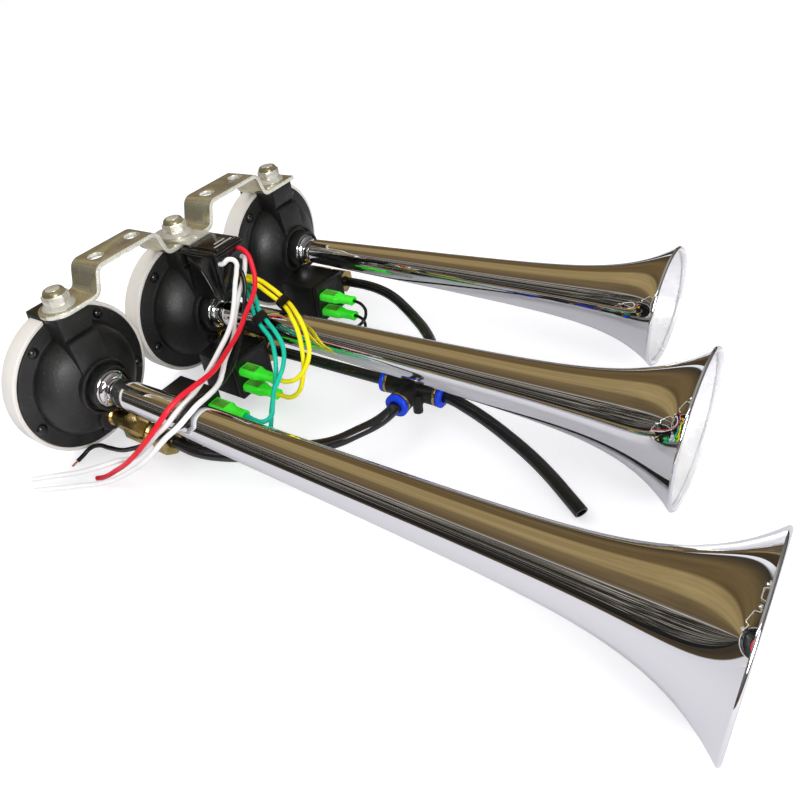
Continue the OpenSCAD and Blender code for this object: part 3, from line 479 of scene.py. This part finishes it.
def from_cad(name, node, material, width, angle=32.0, segments=2):
    """A CAD node's own form with its edges rounded, in place of the node."""
    bm = bmesh.new()
    bm.from_mesh(nodes[node].data)
    bmesh.ops.remove_doubles(bm, verts=bm.verts, dist=2 * MERGE)
    bmesh.ops.dissolve_limit(bm, angle_limit=math.radians(0.6), verts=bm.verts, edges=bm.edges,
                             use_dissolve_boundaries=False, delimit={"NORMAL"})
    soften(bm, width, angle, segments)
    return finish_mesh(name, bm, material, node)


SUPPLY_ROUTE = port_end(0)[::-1] + [
    (190, 0, -21.4), (203, -4.2, -22.6), (216, -9, -24.6), (229, -14.5, -27), (240, -20, -29.6),
    (249, -25.3, -32), (257, -30, -34.3),
]
RED_ROUTE = [
    (43, 7, 42.5), (48, 7, 42.5), (53.5, 6.5, 40), (57, 5, 33), (59.5, 2, 25.5), (61.5, -4, 20),
    (63.5, -13, 15.5), (71.5, -30, 13), (79, -48, 12.8), (83, -58, 13), (86.5, -67, 14),
    (88, -79, 15.2), (87.6, -88.4, 15), (86.4, -95, 13.2), (84.6, -101, 9.4), (81, -106, 3.6),
    (73, -109.5, -5.5), (60, -113.5, -18.6), (46, -115.5, -29.6), (34, -118, -37.6),
    (28.5, -119.2, -39.8),
]
BLACK_ROUTE = [
    (43, -1, 37), (48, -1, 37), (52.5, -1, 34), (55.5, -2.5, 27), (57.5, -7.5, 18), (61, -14, 11),
    (64, -21, 7.5), (70, -31, 5), (80, -48, 3.8), (85, -60, 4), (88, -70, 5.6), (91.4, -80, 9.4),
    (92.6, -88.4, 11.3), (92.6, -93.8, 9.9), (91.2, -98.4, 5.6), (84, -99.8, -1.4), (72, -101.5, -8.5),
    (60, -102.5, -16.5), (48, -103, -23.2), (36, -103, -29), (22, -102.5, -33.2),
    (10, -103, -35.8), (5, -106, -38), (4, -110.5, -39.8), (4, -115, -40.6),
]
WHITE_UPPER_ROUTE = [
    (43, -8.6, 40), (48, -8.6, 40), (52, -6.5, 42.5), (54.5, -4.5, 40.5), (54.5, -5.5, 35),
    (54, -8, 29), (55, -12, 22.5), (58, -18, 17.5), (65, -30, 14), (74, -49, 12.5),
    (82, -67, 11.8), (86.6, -80, 11.2), (88.6, -88.4, 11.4), (88.4, -95, 9.8), (86.2, -100.8, 5.8),
    (79, -104.2, -1), (71, -107.4, -9.4), (57, -110, -20.8), (47, -111.8, -25),
    (36, -117.5, -29), (20, -124, -35), (5, -131, -38.4), (-9, -138, -41.4),
]
WHITE_LOWER_ROUTE = [
    (43, 8.4, 36), (48, 8.4, 36), (51, 5, 33), (51.5, 1.5, 27.5), (51.5, -4, 21), (54, -11, 16),
    (60, -21, 12.2), (67.8, -31, 10), (77.5, -49, 8.2), (84, -58, 8.2), (89.6, -67, 8.2),
    (94.6, -80, 10.4), (96.2, -88.4, 11.4), (96, -95, 9.8), (94.4, -101, 7), (88.4, -106, 1.4),
    (78, -112.5, -10), (62, -117.5, -22.5), (44, -122, -33.2), (25, -129, -38.8),
    (10, -137, -40.8), (0, -143, -41.4),
]


def at_tip(tip, back):
    """Puts a form drawn round Z at the end of a route, its top pointing outward."""
    along = (Vector(tip) - Vector(back)).normalized()
    return Matrix.Translation(at(tip)) @ along.to_track_quat("Z", "Y").to_matrix().to_4x4()


def bare_end(name, tip, back, radius, length):
    """The copper that shows at a wire's cut end: strands laid round a middle one."""
    bm = bmesh.new()
    strand_r = radius * STRAND_SHARE
    for i in range(STRANDS):
        a, off = i * math.tau / (STRANDS - 1), radius * STRAND_CIRCLE * MM if i else 0.0
        top = length - 0.1 * i
        place = at_tip(tip, back) @ Matrix.Translation((off * math.cos(a), off * math.sin(a), 0))
        spun(bm, [(0, -1.2), (strand_r, -1.2), (strand_r, top - 0.2), (strand_r * 0.5, top), (0, top)], place, 10)
    return finish_mesh(name, bm, COPPER)


def open_end(tip, back):
    """The last of the supply tube: its wall, the cut face and the bore."""
    bm = bmesh.new()
    spun(bm, [(0, -OPEN_END), (2.1, -OPEN_END), (2.1, -0.2), (2.3, 0), (3.0, 0), (3.18, -0.2),
              (3.18, -OPEN_END - 0.5)], at_tip(tip, back), 32)
    return finish_mesh("supply_line_end", bm, BLACK_TUBE)


def lay_free_cords():
    """The supply tube and the four leads that lie loose."""
    tip, back = Vector(SUPPLY_ROUTE[-1]), Vector(SUPPLY_ROUTE[-2])
    route = SUPPLY_ROUTE[:-1] + [tip + (back - tip).normalized() * OPEN_END]
    supply = strand("supply_line", route, TUBE_D, BLACK_TUBE, "supply_tube")
    open_end(tip, back)
    for name, route, diameter, material, node, slot, bare in (
        ("red_lead", RED_ROUTE, LEAD_D, RED, "red_wire", "red_insulation", 0.6),
        ("black_lead", BLACK_ROUTE, BLACK_D, BLACK_WIRE, "black_wire", "black_insulation", 4.5),
        ("white_lead_upper", WHITE_UPPER_ROUTE, LEAD_D, WHITE, "white_wire_upper", "white_insulation", 0.6),
        ("white_lead_lower", WHITE_LOWER_ROUTE, LEAD_D, WHITE, "white_wire_lower", "white_insulation", 0.6),
    ):
        lead = strand(name, route, diameter, material, node)
        core = bare_end(name + "_core", route[-1], route[-2], diameter * 0.26, bare)


lay_free_cords()

# Tubes and wires held at both ends: node, slot, diameter, material and route
HELD = {
    "air_tube_long": ("tube_long", "black_tube", TUBE_D, BLACK_TUBE, nut_end(LONG) + [
        (85, -89, -21.5), (98, -84, -23), (110, -76, -24.5), (121, -66.5, -25), (132, -58, -24.5),
        (143, -50, -23.5), (151, -39, -22), (156.5, -28, -21.2)] + port_end(-90)),
    "air_tube_middle": ("tube_middle", "black_tube", TUBE_D, BLACK_TUBE, nut_end(MIDDLE) + [
        (80, 2, -20.5), (100, 2.4, -20.8), (120, 2.8, -21)] + port_end(180)),
    "air_tube_short": ("tube_short", "black_tube", TUBE_D, BLACK_TUBE, nut_end(SHORT) + [
        (73, 89.6, -20.5), (86, 87, -20.7), (98, 82, -21), (110, 74.5, -21.3), (122, 66, -21.6),
        (134, 56.5, -21.8), (145, 45, -21.6), (153, 34, -21.3)] + port_end(90)),
    "yellow_link_upper": ("yellow_wires", "yellow_insulation", LINK_D, YELLOW, [
        (43, 8, 24), (48, 8, 24), (55, 9.5, 22), (63, 9.5, 18.5), (72, 8, 15), (81, 4, 13.8),
        (90, -2, 13.6), (98, -7.5, 12), (104, -12, 7), (107.5, -16.5, 0), (107, -21.5, -7),
        (103.5, -25, -12), (98, -27.2, -14.6)] + sleeve_end(MIDDLE, 1)),
    "yellow_link_lower": ("yellow_wires", "yellow_insulation", LINK_D, YELLOW, [
        (43, 4.6, 24), (48, 4.6, 24), (55, 5.8, 21.5), (63, 6, 17), (72, 5, 13.2), (81, 1, 12.2),
        (90, -5.8, 11.6), (97, -10.8, 8.6), (101.5, -15, 3), (104, -18.5, -5.5), (104, -22, -15),
        (102, -25, -22), (97.5, -27.3, -25.4)] + sleeve_end(MIDDLE, -1)),
    "teal_link_upper": ("teal_wires", "teal_insulation", LINK_D, TEAL, [
        (43, 6.4, 18.5), (48, 6.4, 18.5), (54, 3.5, 17.2), (60.5, -1.5, 15), (67, -7, 12.5),
        (76, -11.5, 10), (85, -15.5, 7), (91.5, -19, 2), (95, -24.5, -4.5), (97, -32, -9),
        (99, -40, -12), (104, -48, -14.5), (108, -55, -15.8), (107, -60, -15.6),
        (102.5, -61.2, -15.1)] + sleeve_end(LONG, 1)),
    "teal_link_lower": ("teal_wires", "teal_insulation", LINK_D, TEAL, [
        (43, 2.8, 18.5), (48, 2.8, 18.5), (54, -0.5, 16.5), (60, -5.5, 13.5), (66, -10.5, 10.5),
        (75, -15, 7.5), (83, -18.5, 4), (88, -23, -2.5), (92, -29.5, -10.5), (95, -37, -17),
        (98, -44, -22), (102.5, -51, -25.5), (106, -57, -26.6), (105, -60.5, -26.4),
        (101.5, -61, -26.1)] + sleeve_end(LONG, -1)),
    "black_link_upper": ("link_wires", "thin_black_insulation", THIN_D, BLACK_WIRE, sleeve_end(SHORT, 1)[::-1] + [
        (89, 59.5, -16), (93.5, 56, -18.5), (94, 51, -22), (89, 46.5, -25.5), (78, 44.5, -28),
        (64, 42.5, -29), (50, 38.5, -27.5), (38, 32, -21.5), (32, 25, -11), (32, 19.5, 1),
        (34, 17.5, 12), (34, 15.5, 19), (34, 12.4, 22), (34, 8.8, 22)]),
    "black_link_lower": ("link_wires", "thin_black_insulation", THIN_D, BLACK_WIRE, sleeve_end(SHORT, -1)[::-1] + [
        (88, 59.8, -27.5), (91, 56, -30.5), (89, 51, -33), (81, 48, -34), (68, 46.5, -34.2),
        (54, 43.5, -33), (42, 38, -29.5), (33, 31, -22), (28, 24, -11), (27, 19, 1),
        (28, 17.5, 12), (28, 15.5, 19), (28, 12.4, 22), (28, 8.8, 22)]),
}
for name, (node, slot, diameter, material, route) in HELD.items():
    strand(name, route, diameter, material, node)

# Trumpets


def bell_radius(x, horn):
    """Outer radius of a trumpet at a distance from the flange's face."""
    t = (x - PIPE_START) / (horn["length"] - PIPE_START)
    flare = (horn["mouth"] - TAPER_D) / 2 * math.exp((x - horn["length"]) / FLARE_REACH)
    return PIPE_D / 2 + (TAPER_D - PIPE_D) / 2 * t + flare


def make_trumpet(name, horn):
    """One spun sheet: neck with its small flange, shoulder, taper, flare and rolled rim."""
    steps, turn_in = 60, 2.0
    start = PIPE_START + turn_in
    stations = [start + (horn["length"] - start) * (1 - (1 - i / steps) ** 1.6) for i in range(steps + 1)]
    outer = [(bell_radius(x, horn), x) for x in stations]
    inner = [(r - WALL, x) for r, x in reversed(outer)]
    shoulder = PIPE_D / 2 - NECK_R
    profile = [(NECK_R - WALL, SPIGOT_X), (NECK_R, SPIGOT_X), (NECK_R, SEAT), (NECK_FLANGE_R, SEAT),
               (NECK_FLANGE_R, SEAT + NECK_FLANGE), (NECK_R, SEAT + NECK_FLANGE)]
    for i in range(7):
        a = math.radians(15 * i)
        profile.append((NECK_R + shoulder * math.sin(a), start - turn_in * math.cos(a)))
    bead_r = RIM_BEAD / 2
    centre = horn["mouth"] / 2 - bead_r
    bead = [(centre + bead_r * math.cos(math.radians(a)), horn["length"] + bead_r * math.sin(math.radians(a)))
            for a in range(0, 226, 15)]
    profile += outer[:-1] + bead + inner[1:]
    profile += [(NECK_R - WALL, PIPE_START), (NECK_R - WALL, SPIGOT_X)]
    bm = bmesh.new()
    spun(bm, profile, along_x((0, horn["y"], 0)), 144)
    # The bell's inside, as far as one sees in, and the inner half of its rim, which take the painted glare of the
    # mouth's whiter copy of the chrome
    axis = at((0, horn["y"], 0))
    for face in bm.faces:
        middle = face.calc_center_median()
        x = middle.x / MM - ZERO.x
        off = math.hypot(middle.y - axis.y, middle.z - axis.z) / MM
        if x > horn["length"] - 1.6 * BELL_L and off < min(bell_radius(x, horn) - WALL / 2, centre):
            face.material_index = 1
    piece = finish_mesh("chromed_bell_" + name, bm, (CHROME, MOUTH_PAINTED_GLARE), "trumpet_" + name, "bell_" + name,
                        flat_angle=40.0)


def make_neck_ring(name, horn):
    """The chromed ring that holds the neck's flange in the housing's mouth."""
    x, bore = SEAT + NECK_FLANGE, NECK_R + FIT
    bm = bmesh.new()
    spun(bm, [(bore, x), (10.1, x), (10.6, x + 0.4), (10.6, x + 2.2), (10.2, x + 2.6), (9.6, x + 2.8),
              (9.5, x + 3.6), (8.6, x + 4.6), (7.6, x + 5.2), (bore, x + 5.4), (bore, x)],
         along_x((0, horn["y"], 0)), 96)
    finish_mesh("neck_collar_" + name, bm, CHROME, "neck_ring_" + name)


# Housings and covers


def make_housing(name, horn):
    """The black moulding: flange, dome and double collar, with the lug and the inlet's boss."""
    dome_end = math.acos(COLLAR_R / DOME_R)
    profile = [(0, -FLANGE_T), (FLANGE_R - 0.4, -FLANGE_T), (FLANGE_R, 0.4 - FLANGE_T), (FLANGE_R, -0.7),
               (FLANGE_R - 0.2, -0.2), (FLANGE_R - 0.7, 0), (DOME_R + 1.6, 0), (DOME_R + 0.6, 0.35),
               (DOME_R + 0.15, 1.0)]
    profile += [(DOME_R * math.cos(dome_end * i / 20), DOME_H * math.sin(dome_end * i / 20)) for i in range(1, 21)]
    profile += [(COLLAR_R, COLLAR_X - 0.8), (COLLAR_R - 0.2, COLLAR_X - 0.2), (COLLAR_R - 0.8, COLLAR_X),
                (COLLAR_R - 1.1, COLLAR_X), (COLLAR_R - 1.5, COLLAR_X - 0.3), (COLLAR_R - 1.65, GROOVE_X + 0.2),
                (COLLAR_R - 2, GROOVE_X), (INNER_R + 0.4, GROOVE_X), (INNER_R, GROOVE_X + 0.4),
                (INNER_R, INNER_X - 0.8), (INNER_R - 0.2, INNER_X - 0.2), (INNER_R - 0.8, INNER_X),
                (INNER_R - 1.3, INNER_X), (INNER_R - 1.75, INNER_X - 0.4), (INNER_R - 1.95, SEAT),
                (NECK_R + FIT, SEAT), (NECK_R + FIT, SPIGOT_X), (0, SPIGOT_X)]
    bm = bmesh.new()
    spun(bm, profile, along_x((0, horn["y"], 0)), 128)
    # The stud's block, a groove under it, and the web that runs on down to the collar
    outline = [(-17, 38.4), (-16, LUG_TOP), (14, LUG_TOP), (14, 33.3), (12.6, 32.3), (12.6, 31.8), (15.2, 31.7),
               (16.2, 30.9), (18.5, 12), (10, 8), (-1, 30), (-1, 38.4)]
    lug = bmesh.new()
    face = lug.faces.new([lug.verts.new(at((x, horn["y"] - LUG_W / 2, z))) for x, z in outline])
    grown = bmesh.ops.extrude_face_region(lug, geom=[face])
    far_side = [v for v in grown["geom"] if isinstance(v, bmesh.types.BMVert)]
    bmesh.ops.translate(lug, vec=(0, LUG_W * MM, 0), verts=far_side)
    bmesh.ops.recalc_face_normals(lug, faces=lug.faces)
    soften(lug, 0.38, 35.0)
    pour(bm, lug)
    spun(bm, [(0, -1), (8.5, -1), (8.5, 17.2), (7.9, 18), (4.95, 18), (4.95, 10), (0, 10)],
         along_x((0, stem_y(horn), -STEM_DROP)), 48)
    piece = finish_mesh("drum_" + name, bm, BLACK_TEXTURED, "housing_" + name, flat_angle=34.0)


def make_rivets():
    """Round-headed rivets on a circle round each flange, with one opposite the lug."""
    bm = bmesh.new()
    head = [(0, 0)] + [(RIVET_R * math.cos(math.radians(a)), RIVET_H * math.sin(math.radians(a)))
                       for a in range(0, 91, 10)]
    for horn in HORNS.values():
        for i in range(RIVETS):
            a = math.tau * i / RIVETS
            spun(bm, head, along_x((0, horn["y"] - RIVET_CIRCLE * math.sin(a), -RIVET_CIRCLE * math.cos(a))), 28)
    finish_mesh("flange_rivets", bm, RIVET_BLACK, "cover_rivets")


for name, horn in HORNS.items():
    make_trumpet(name, horn)
    make_neck_ring(name, horn)
    make_housing(name, horn)
    from_cad("back_cover_" + name, "cover_" + name, WHITE_COVER, 0.45, segments=3)
make_rivets()

# Bracket and its fastenings


def make_bracket():
    """The folded strip, with a painted highlight: a brighter, whiter copy of its plate on its sheared edges, its
    folds and the rims of its holes.
    """
    piece = from_cad("folded_bracket", "bracket", (BRACKET_PLATE, BRACKET_PAINTED_HIGHLIGHT), 0.3, 40.0)
    # Faces that turn along X or slant between flat and upright take the painted highlight
    for polygon in piece.data.polygons:
        slant = max(abs(polygon.normal.y), abs(polygon.normal.z))
        if abs(polygon.normal.x) > 0.25 or 0.05 < slant < 0.62:
            polygon.material_index = 1


def make_nuts():
    """Flange nuts: the turned flange, the hexagon with its chamfers and the rolled-in lock ring."""
    bm = bmesh.new()
    rings = bmesh.new()
    for name, horn in HORNS.items():
        base = LUG_TOP + STRIP_T + (STRAP_T if name == "middle" else 0)
        place = Matrix.Translation(at((STUD_X, horn["y"], base)))
        spun(bm, [(NUT_BORE_R, 0), (8.9, 0), (9.2, 0.25), (9.2, 0.8), (8.9, 1.15), (7.3, 2.5), (NUT_BORE_R, 2.7)],
             place, 64)
        hexagon = bmesh.new()
        bmesh.ops.create_cone(hexagon, cap_ends=True, segments=6, radius1=HEX_R * MM, radius2=HEX_R * MM,
                              depth=HEX_H * MM)
        turn = Matrix.Rotation(math.radians(30), 4, "Z")
        bmesh.ops.transform(hexagon, matrix=place @ Matrix.Translation((0, 0, HEX_MIDDLE * MM)) @ turn,
                            verts=hexagon.verts)
        soften(hexagon, 0.4, 20.0)
        pour(bm, hexagon)
        spun(rings, [(NUT_BORE_R, 7.0), (6.3, 7.0), (6.25, 7.7), (5.95, 8.8), (5.4, 9.7), (4.9, 10.1), (4.5, 10.15),
                     (NUT_BORE_R, 9.9), (NUT_BORE_R, 7.0)], place, 56)
    finish_mesh("flange_nuts", bm, ZINC, "bracket_nuts")
    finish_mesh("lock_rings", rings, LOCK_RING, "bracket_nuts")


make_bracket()
from_cad("stud_ends", "lug_studs", ZINC, 0.4, 40.0)
from_cad("relay_carrier", "relay_strap", ZINC, 0.2, 40.0)
make_nuts()

# Valves


# A sleeve's sections from the valve's face: distance, width, height and corner
SLEEVE = [(0.15, 9.0, 5.0, 1.3), (0.7, 9.6, 5.6, 1.5), (11.4, 9.6, 5.6, 1.5), (12.4, 9.0, 5.4, 1.5),
          (14.6, 7.0, 5.0, 1.4), (15.4, 6.8, 4.9, 1.4), (21.8, 6.4, 4.7, 1.3), (23.4, 7.0, 5.2, 1.5),
          (SLEEVE_L, 6.8, 5.0, 1.5), (SLEEVE_L, 4.6, 3.9, 1.2), (SLEEVE_L - 4.0, 4.4, 3.7, 1.2)]


def eight_sided(bm, x, width, height, corner, middle):
    """A loop of eight edges across X round a middle in Y and Z."""
    w, h = width / 2, height / 2
    outline = [(w, h - corner), (w - corner, h), (corner - w, h), (-w, h - corner),
               (-w, corner - h), (corner - w, -h), (w - corner, -h), (w, corner - h)]
    ring = [bm.verts.new(at((x, middle[0] + y, middle[1] + z))) for y, z in outline]
    return [bm.edges.new((ring[i - 1], ring[i])) for i in range(8)]


def make_sleeves(name, horn):
    """Crimp sleeves: flat over the spade, a step, the crimp, and an end that turns in round the wire."""
    bm = bmesh.new()
    start = horn["box"] + BOX_L
    for side in (-1, 1):
        middle = (spade_y(horn), -STEM_DROP + side * SPADE_PITCH / 2)
        rings = [eight_sided(bm, start + x, w, h, c, middle) for x, w, h, c in SLEEVE]
        for one, two in zip(rings, rings[1:]):
            bmesh.ops.bridge_loops(bm, edges=one + two)
        for last in (rings[0], rings[-1]):
            bmesh.ops.contextual_create(bm, geom=last)
    bmesh.ops.recalc_face_normals(bm, faces=bm.faces)
    # Painted shade: the wide faces' middles take a darker copy of the green, for the inside seen through them,
    # between brighter walls
    wide = [f for f in bm.faces if abs(f.normal.z) > 0.99 and f.calc_area() > 40 * MM * MM]
    bmesh.ops.inset_individual(bm, faces=wide, thickness=0.7 * MM, depth=-0.12 * MM)
    for face in wide:
        face.material_index = 1
    soften(bm, 0.22, 28.0)
    piece = finish_mesh("clear_sleeves_" + name, bm, (GREEN, GREEN_PAINTED_SHADE), "sleeves_" + name, flat_angle=30.0)


for name, horn in HORNS.items():
    from_cad("valve_case_" + name, "valve_box_" + name, BLACK_SATIN, 0.3, 40.0)
    from_cad("brass_stem_" + name, "valve_stem_" + name, BRASS, 0.25)
    from_cad("tube_nut_" + name, "inlet_nut_" + name, BRASS_DARK, 0.25)
    make_sleeves(name, horn)
from_cad("brass_spades", "valve_terminals", BRASS, 0.1, 40.0, 1)

# Relay


def rounded_block(bm, low, high, corner, edge):
    """A box with its upright corners rounded well and its other edges a little."""
    made = block(bm, low, high)
    corners = [e for e in {e for v in made for e in v.link_edges}
               if abs((e.verts[0].co - e.verts[1].co).normalized().z) > 0.9]
    grown = bmesh.ops.bevel(bm, geom=corners, offset=corner * MM, offset_type="OFFSET", segments=4,
                            profile=0.5, affect="EDGES", clamp_overlap=True, material=-1)
    faces = set(grown["faces"])
    for face in grown["faces"]:
        faces.update(f for e in face.edges for f in e.link_faces)
    soften(bm, edge, 50.0, edges={e for f in faces for e in f.edges})


def make_relay():
    """The relay's case with its stepped lid, the ribs on its side and the two bars on its lid."""
    bm = bmesh.new()
    for low, high, corner, edge in (
        ((21, -11, 16.1), (46, 11, 44.5), 1.5, 0.5),
        ((17, -12, 43.6), (47, 12, 45.0), 1.2, 0.3),
        ((17.5, -11.5, 44.5), (46.5, 11.5, 47.0), 1.4, 0.7),
        ((20.5, -8.5, 46.4), (46.0, 10.4, 48.1), 1.6, 0.6),
        ((41.8, -11.5, 17.5), (43.2, -10.5, 43.8), 0.3, 0.15),
    ):
        rounded_block(bm, low, high, corner, edge)
    finish_mesh("relay_case", bm, BLACK_GLOSS, "relay_box", flat_angle=30.0)
    slanted = [(24, -11, 41.6), (28.8, -11, 37.2), (32.6, -11, 30.8), (35.8, -11, 24), (37.9, -11, 18.4)]
    round_curve("relay_rib", slanted, 0.7, BLACK_GLOSS, 3, 12)
    bars = bmesh.new()
    for x, y_low, y_high in ((38.6, -3.0, 5.4), (42.4, -6.6, 7.4)):
        block(bars, (x - 0.55, y_low, 47.9), (x + 0.55, y_high, 48.45))
    soften(bars, 0.15, 50.0)
    finish_mesh("lid_bars", bars, SPRING)


make_relay()

# Four-way fitting, tape and the pieces inside the housings

from_cad("cross_body", "cross_fitting", BLACK_SATIN, 0.3, 40.0)
from_cad("port_rings", "fitting_rings", BRASS, 0.15, 40.0)
from_cad("blue_release_collars", "release_collars", BLUE, 0.2, 40.0)
from_cad("pair_wraps", "wire_wraps", BLACK_TAPE, 0.2, 40.0)

for name in HORNS:
    for kind, material in (("diaphragm_", SPRING), ("gasket_", BLACK_TAPE)):
        materials = nodes[kind + name].data.materials
        materials.clear()
        materials.append(material)

# Stage and light


FLOOR_HALF = 14.0
LIP_RISE, FOOT_SPAN = 8.0, 326.0  # the long bell's lip over the covers' feet, and how far in front


def lay_floor():
    """A white floor under the covers' feet and the long bell's lip, on which the horn stands."""
    bm = bmesh.new()
    bmesh.ops.create_grid(bm, x_segments=1, y_segments=1, size=FLOOR_HALF)
    slope = math.atan2(LIP_RISE, FOOT_SPAN)
    bmesh.ops.rotate(bm, cent=(0, 0, 0), matrix=Matrix.Rotation(-slope, 3, "Y"), verts=bm.verts)
    bmesh.ops.translate(bm, vec=at((-1, 0, -COVER_R - 0.2)), verts=bm.verts)
    mesh = bpy.data.meshes.new("floor")
    bm.to_mesh(mesh)
    bm.free()
    floor = bpy.data.objects.new("floor", mesh)
    bpy.context.scene.collection.objects.link(floor)
    material = bpy.data.materials.new("floor_white")
    material.use_nodes = True
    mesh.materials.append(material)
    tree = material.node_tree
    path = tree.nodes.new("ShaderNodeLightPath")
    # The camera sees a white ground, a little darker where the horn shades it
    shader = tree.nodes["Principled BSDF"]
    for label, value in (("Base Color", (0.70, 0.70, 0.745, 1)), ("Roughness", 0.8),
                         ("Emission Color", (1, 1, 1, 1)),
                         ("Emission Strength", math_in(tree, "MULTIPLY", path.outputs["Is Camera Ray"], 0.52))):
        feed(tree, shader.inputs[label], value)
    # What the chrome mirrors of it is a white sheet that ends a little past the horn
    table = tree.nodes.new("ShaderNodeBsdfDiffuse")
    table.inputs["Color"].default_value = (0.07, 0.052, 0.032, 1)
    far = tree.nodes.new("ShaderNodeVectorMath")
    far.operation = "LENGTH"
    tree.links.new(tree.nodes.new("ShaderNodeTexCoord").outputs["Object"], far.inputs[0])
    past = math_in(tree, "MULTIPLY", span_in(tree, far.outputs["Value"], 0.42, 0.50, 0.0, 1.0),
                   path.outputs["Is Glossy Ray"])
    ground = either_in(tree, past, shader.outputs[0], table.outputs[0])
    tree.links.new(ground, tree.nodes["Material Output"].inputs["Surface"])


# The mirrored wall by height, from the far side (0) over the top (0.5) to the near side (1)
WALL_BANDS = [
    (0.0, (0.05, 0.045, 0.035)), (0.02, (0.05, 0.04, 0.03)), (0.06, (0.10, 0.07, 0.035)),
    (0.11, (0.17, 0.115, 0.052)), (0.25, (0.145, 0.098, 0.042)), (0.285, (0.33, 0.242, 0.108)),
    (0.49, (0.355, 0.262, 0.120)), (0.53, (0.19, 0.135, 0.065)), (0.66, (0.135, 0.094, 0.050)),
    (0.69, (0.20, 0.16, 0.11)), (0.70, (0.62, 0.62, 0.62)), (0.708, (0.10, 0.08, 0.06)),
    (0.73, (0.030, 0.024, 0.018)), (0.95, (0.020, 0.018, 0.016)), (1.0, (0.012, 0.012, 0.012))]
STREAK_BANDS = [(0.0, (0, 0, 0)), (0.70, (0, 0, 0)), (0.73, (0.9, 0.84, 0.72)), (0.93, (0.55, 0.52, 0.46)),
                (0.97, (0, 0, 0))]
FRONT_BANDS = [(0.0, (0.09, 0.09, 0.09)), (0.35, (0.16, 0.155, 0.15)), (0.62, (0.20, 0.195, 0.19)),
               (0.75, (0.42, 0.41, 0.40)), (1.0, (0.30, 0.29, 0.28))]


def light_world():
    """A pale room for soft light; shiny pieces mirror a brown wall and a dark band below it."""
    world = bpy.data.worlds.new("studio")
    bpy.context.scene.world = world
    world.use_nodes = True
    tree = world.node_tree
    tree.nodes.clear()
    split = tree.nodes.new("ShaderNodeSeparateXYZ")
    tree.links.new(tree.nodes.new("ShaderNodeTexCoord").outputs["Generated"], split.inputs[0])
    x, y, z = split.outputs
    turn = math_in(tree, "DIVIDE", math_in(tree, "ARCTAN2", z, y), math.pi)

    def noise_along(x_scale, turn_scale):
        place = tree.nodes.new("ShaderNodeCombineXYZ")
        tree.links.new(math_in(tree, "MULTIPLY", x, x_scale), place.inputs[0])
        tree.links.new(math_in(tree, "MULTIPLY", turn, turn_scale), place.inputs[1])
        return noise_in(tree, place.outputs[0], 1.0, 3.0, 0.6)

    # A slow cloud over the wall, and streaks that run along the trumpets
    cloud = span_in(tree, noise_along(2.0, 9.0), 0.3, 0.7, 0.72, 1.22)
    streak = span_in(tree, noise_along(3.0, 110.0), 0.52, 0.72, 0.0, 1.0)
    wall = mix_in(tree, 1.0, ramp_in(tree, turn, WALL_BANDS), cloud, "MULTIPLY")
    band = mix_in(tree, 1.0, ramp_in(tree, turn, STREAK_BANDS), streak, "MULTIPLY")
    sides = mix_in(tree, 1.0, wall, band, "ADD")
    # Beyond the far trumpet a pale line lies on the horizon
    glow = math_in(tree, "MULTIPLY", span_in(tree, z, 0.012, 0.028, 1.0, 0.0), span_in(tree, y, 0.5, 0.66, 0.0, 1.0))
    sides = mix_in(tree, glow, sides, (0.90, 0.91, 0.95, 1))
    # Towards the bells' side the room is a plain grey
    mirrored = mix_in(tree, span_in(tree, x, -0.15, 0.35, 0.0, 1.0), sides, ramp_in(tree, z, FRONT_BANDS))

    def background(colour, strength=1.0):
        node = tree.nodes.new("ShaderNodeBackground")
        feed(tree, node.inputs["Color"], colour)
        node.inputs["Strength"].default_value = strength
        return node.outputs[0]

    path = tree.nodes.new("ShaderNodeLightPath")
    room = either_in(tree, path.outputs["Is Glossy Ray"], background((1.0, 0.985, 0.965, 1), 0.74),
                     background(mirrored))
    seen = either_in(tree, path.outputs["Is Camera Ray"], room, background((1, 1, 1, 1)))
    tree.links.new(seen, tree.nodes.new("ShaderNodeOutputWorld").inputs["Surface"])


def area_light(name, place, target, size, power, mirrored=True):
    """A rectangular lamp that faces its target, and shows in shiny pieces if mirrored."""
    data = bpy.data.lights.new(name, "AREA")
    data.shape = "RECTANGLE"
    data.size, data.size_y = size
    data.energy = power
    lamp = bpy.data.objects.new(name, data)
    bpy.context.scene.collection.objects.link(lamp)
    lamp.location = place
    lamp.rotation_mode = "QUATERNION"
    lamp.rotation_quaternion = (Vector(target) - Vector(place)).to_track_quat("-Z", "Y")
    lamp.visible_glossy = mirrored


lay_floor()
light_world()
area_light("overhead", (-0.50, -0.30, 1.00), (-0.05, 0.0, 0.03), (0.7, 0.5), 2.2, mirrored=False)
area_light("front_panel", (0.90, -0.50, 0.42), (-0.10, 0.0, 0.04), (0.44, 0.32), 6.5)
area_light("thin_front_strip", (0.30, -0.62, 0.86), (0.0, 0.0, 0.04), (1.2, 0.06), 1.0)
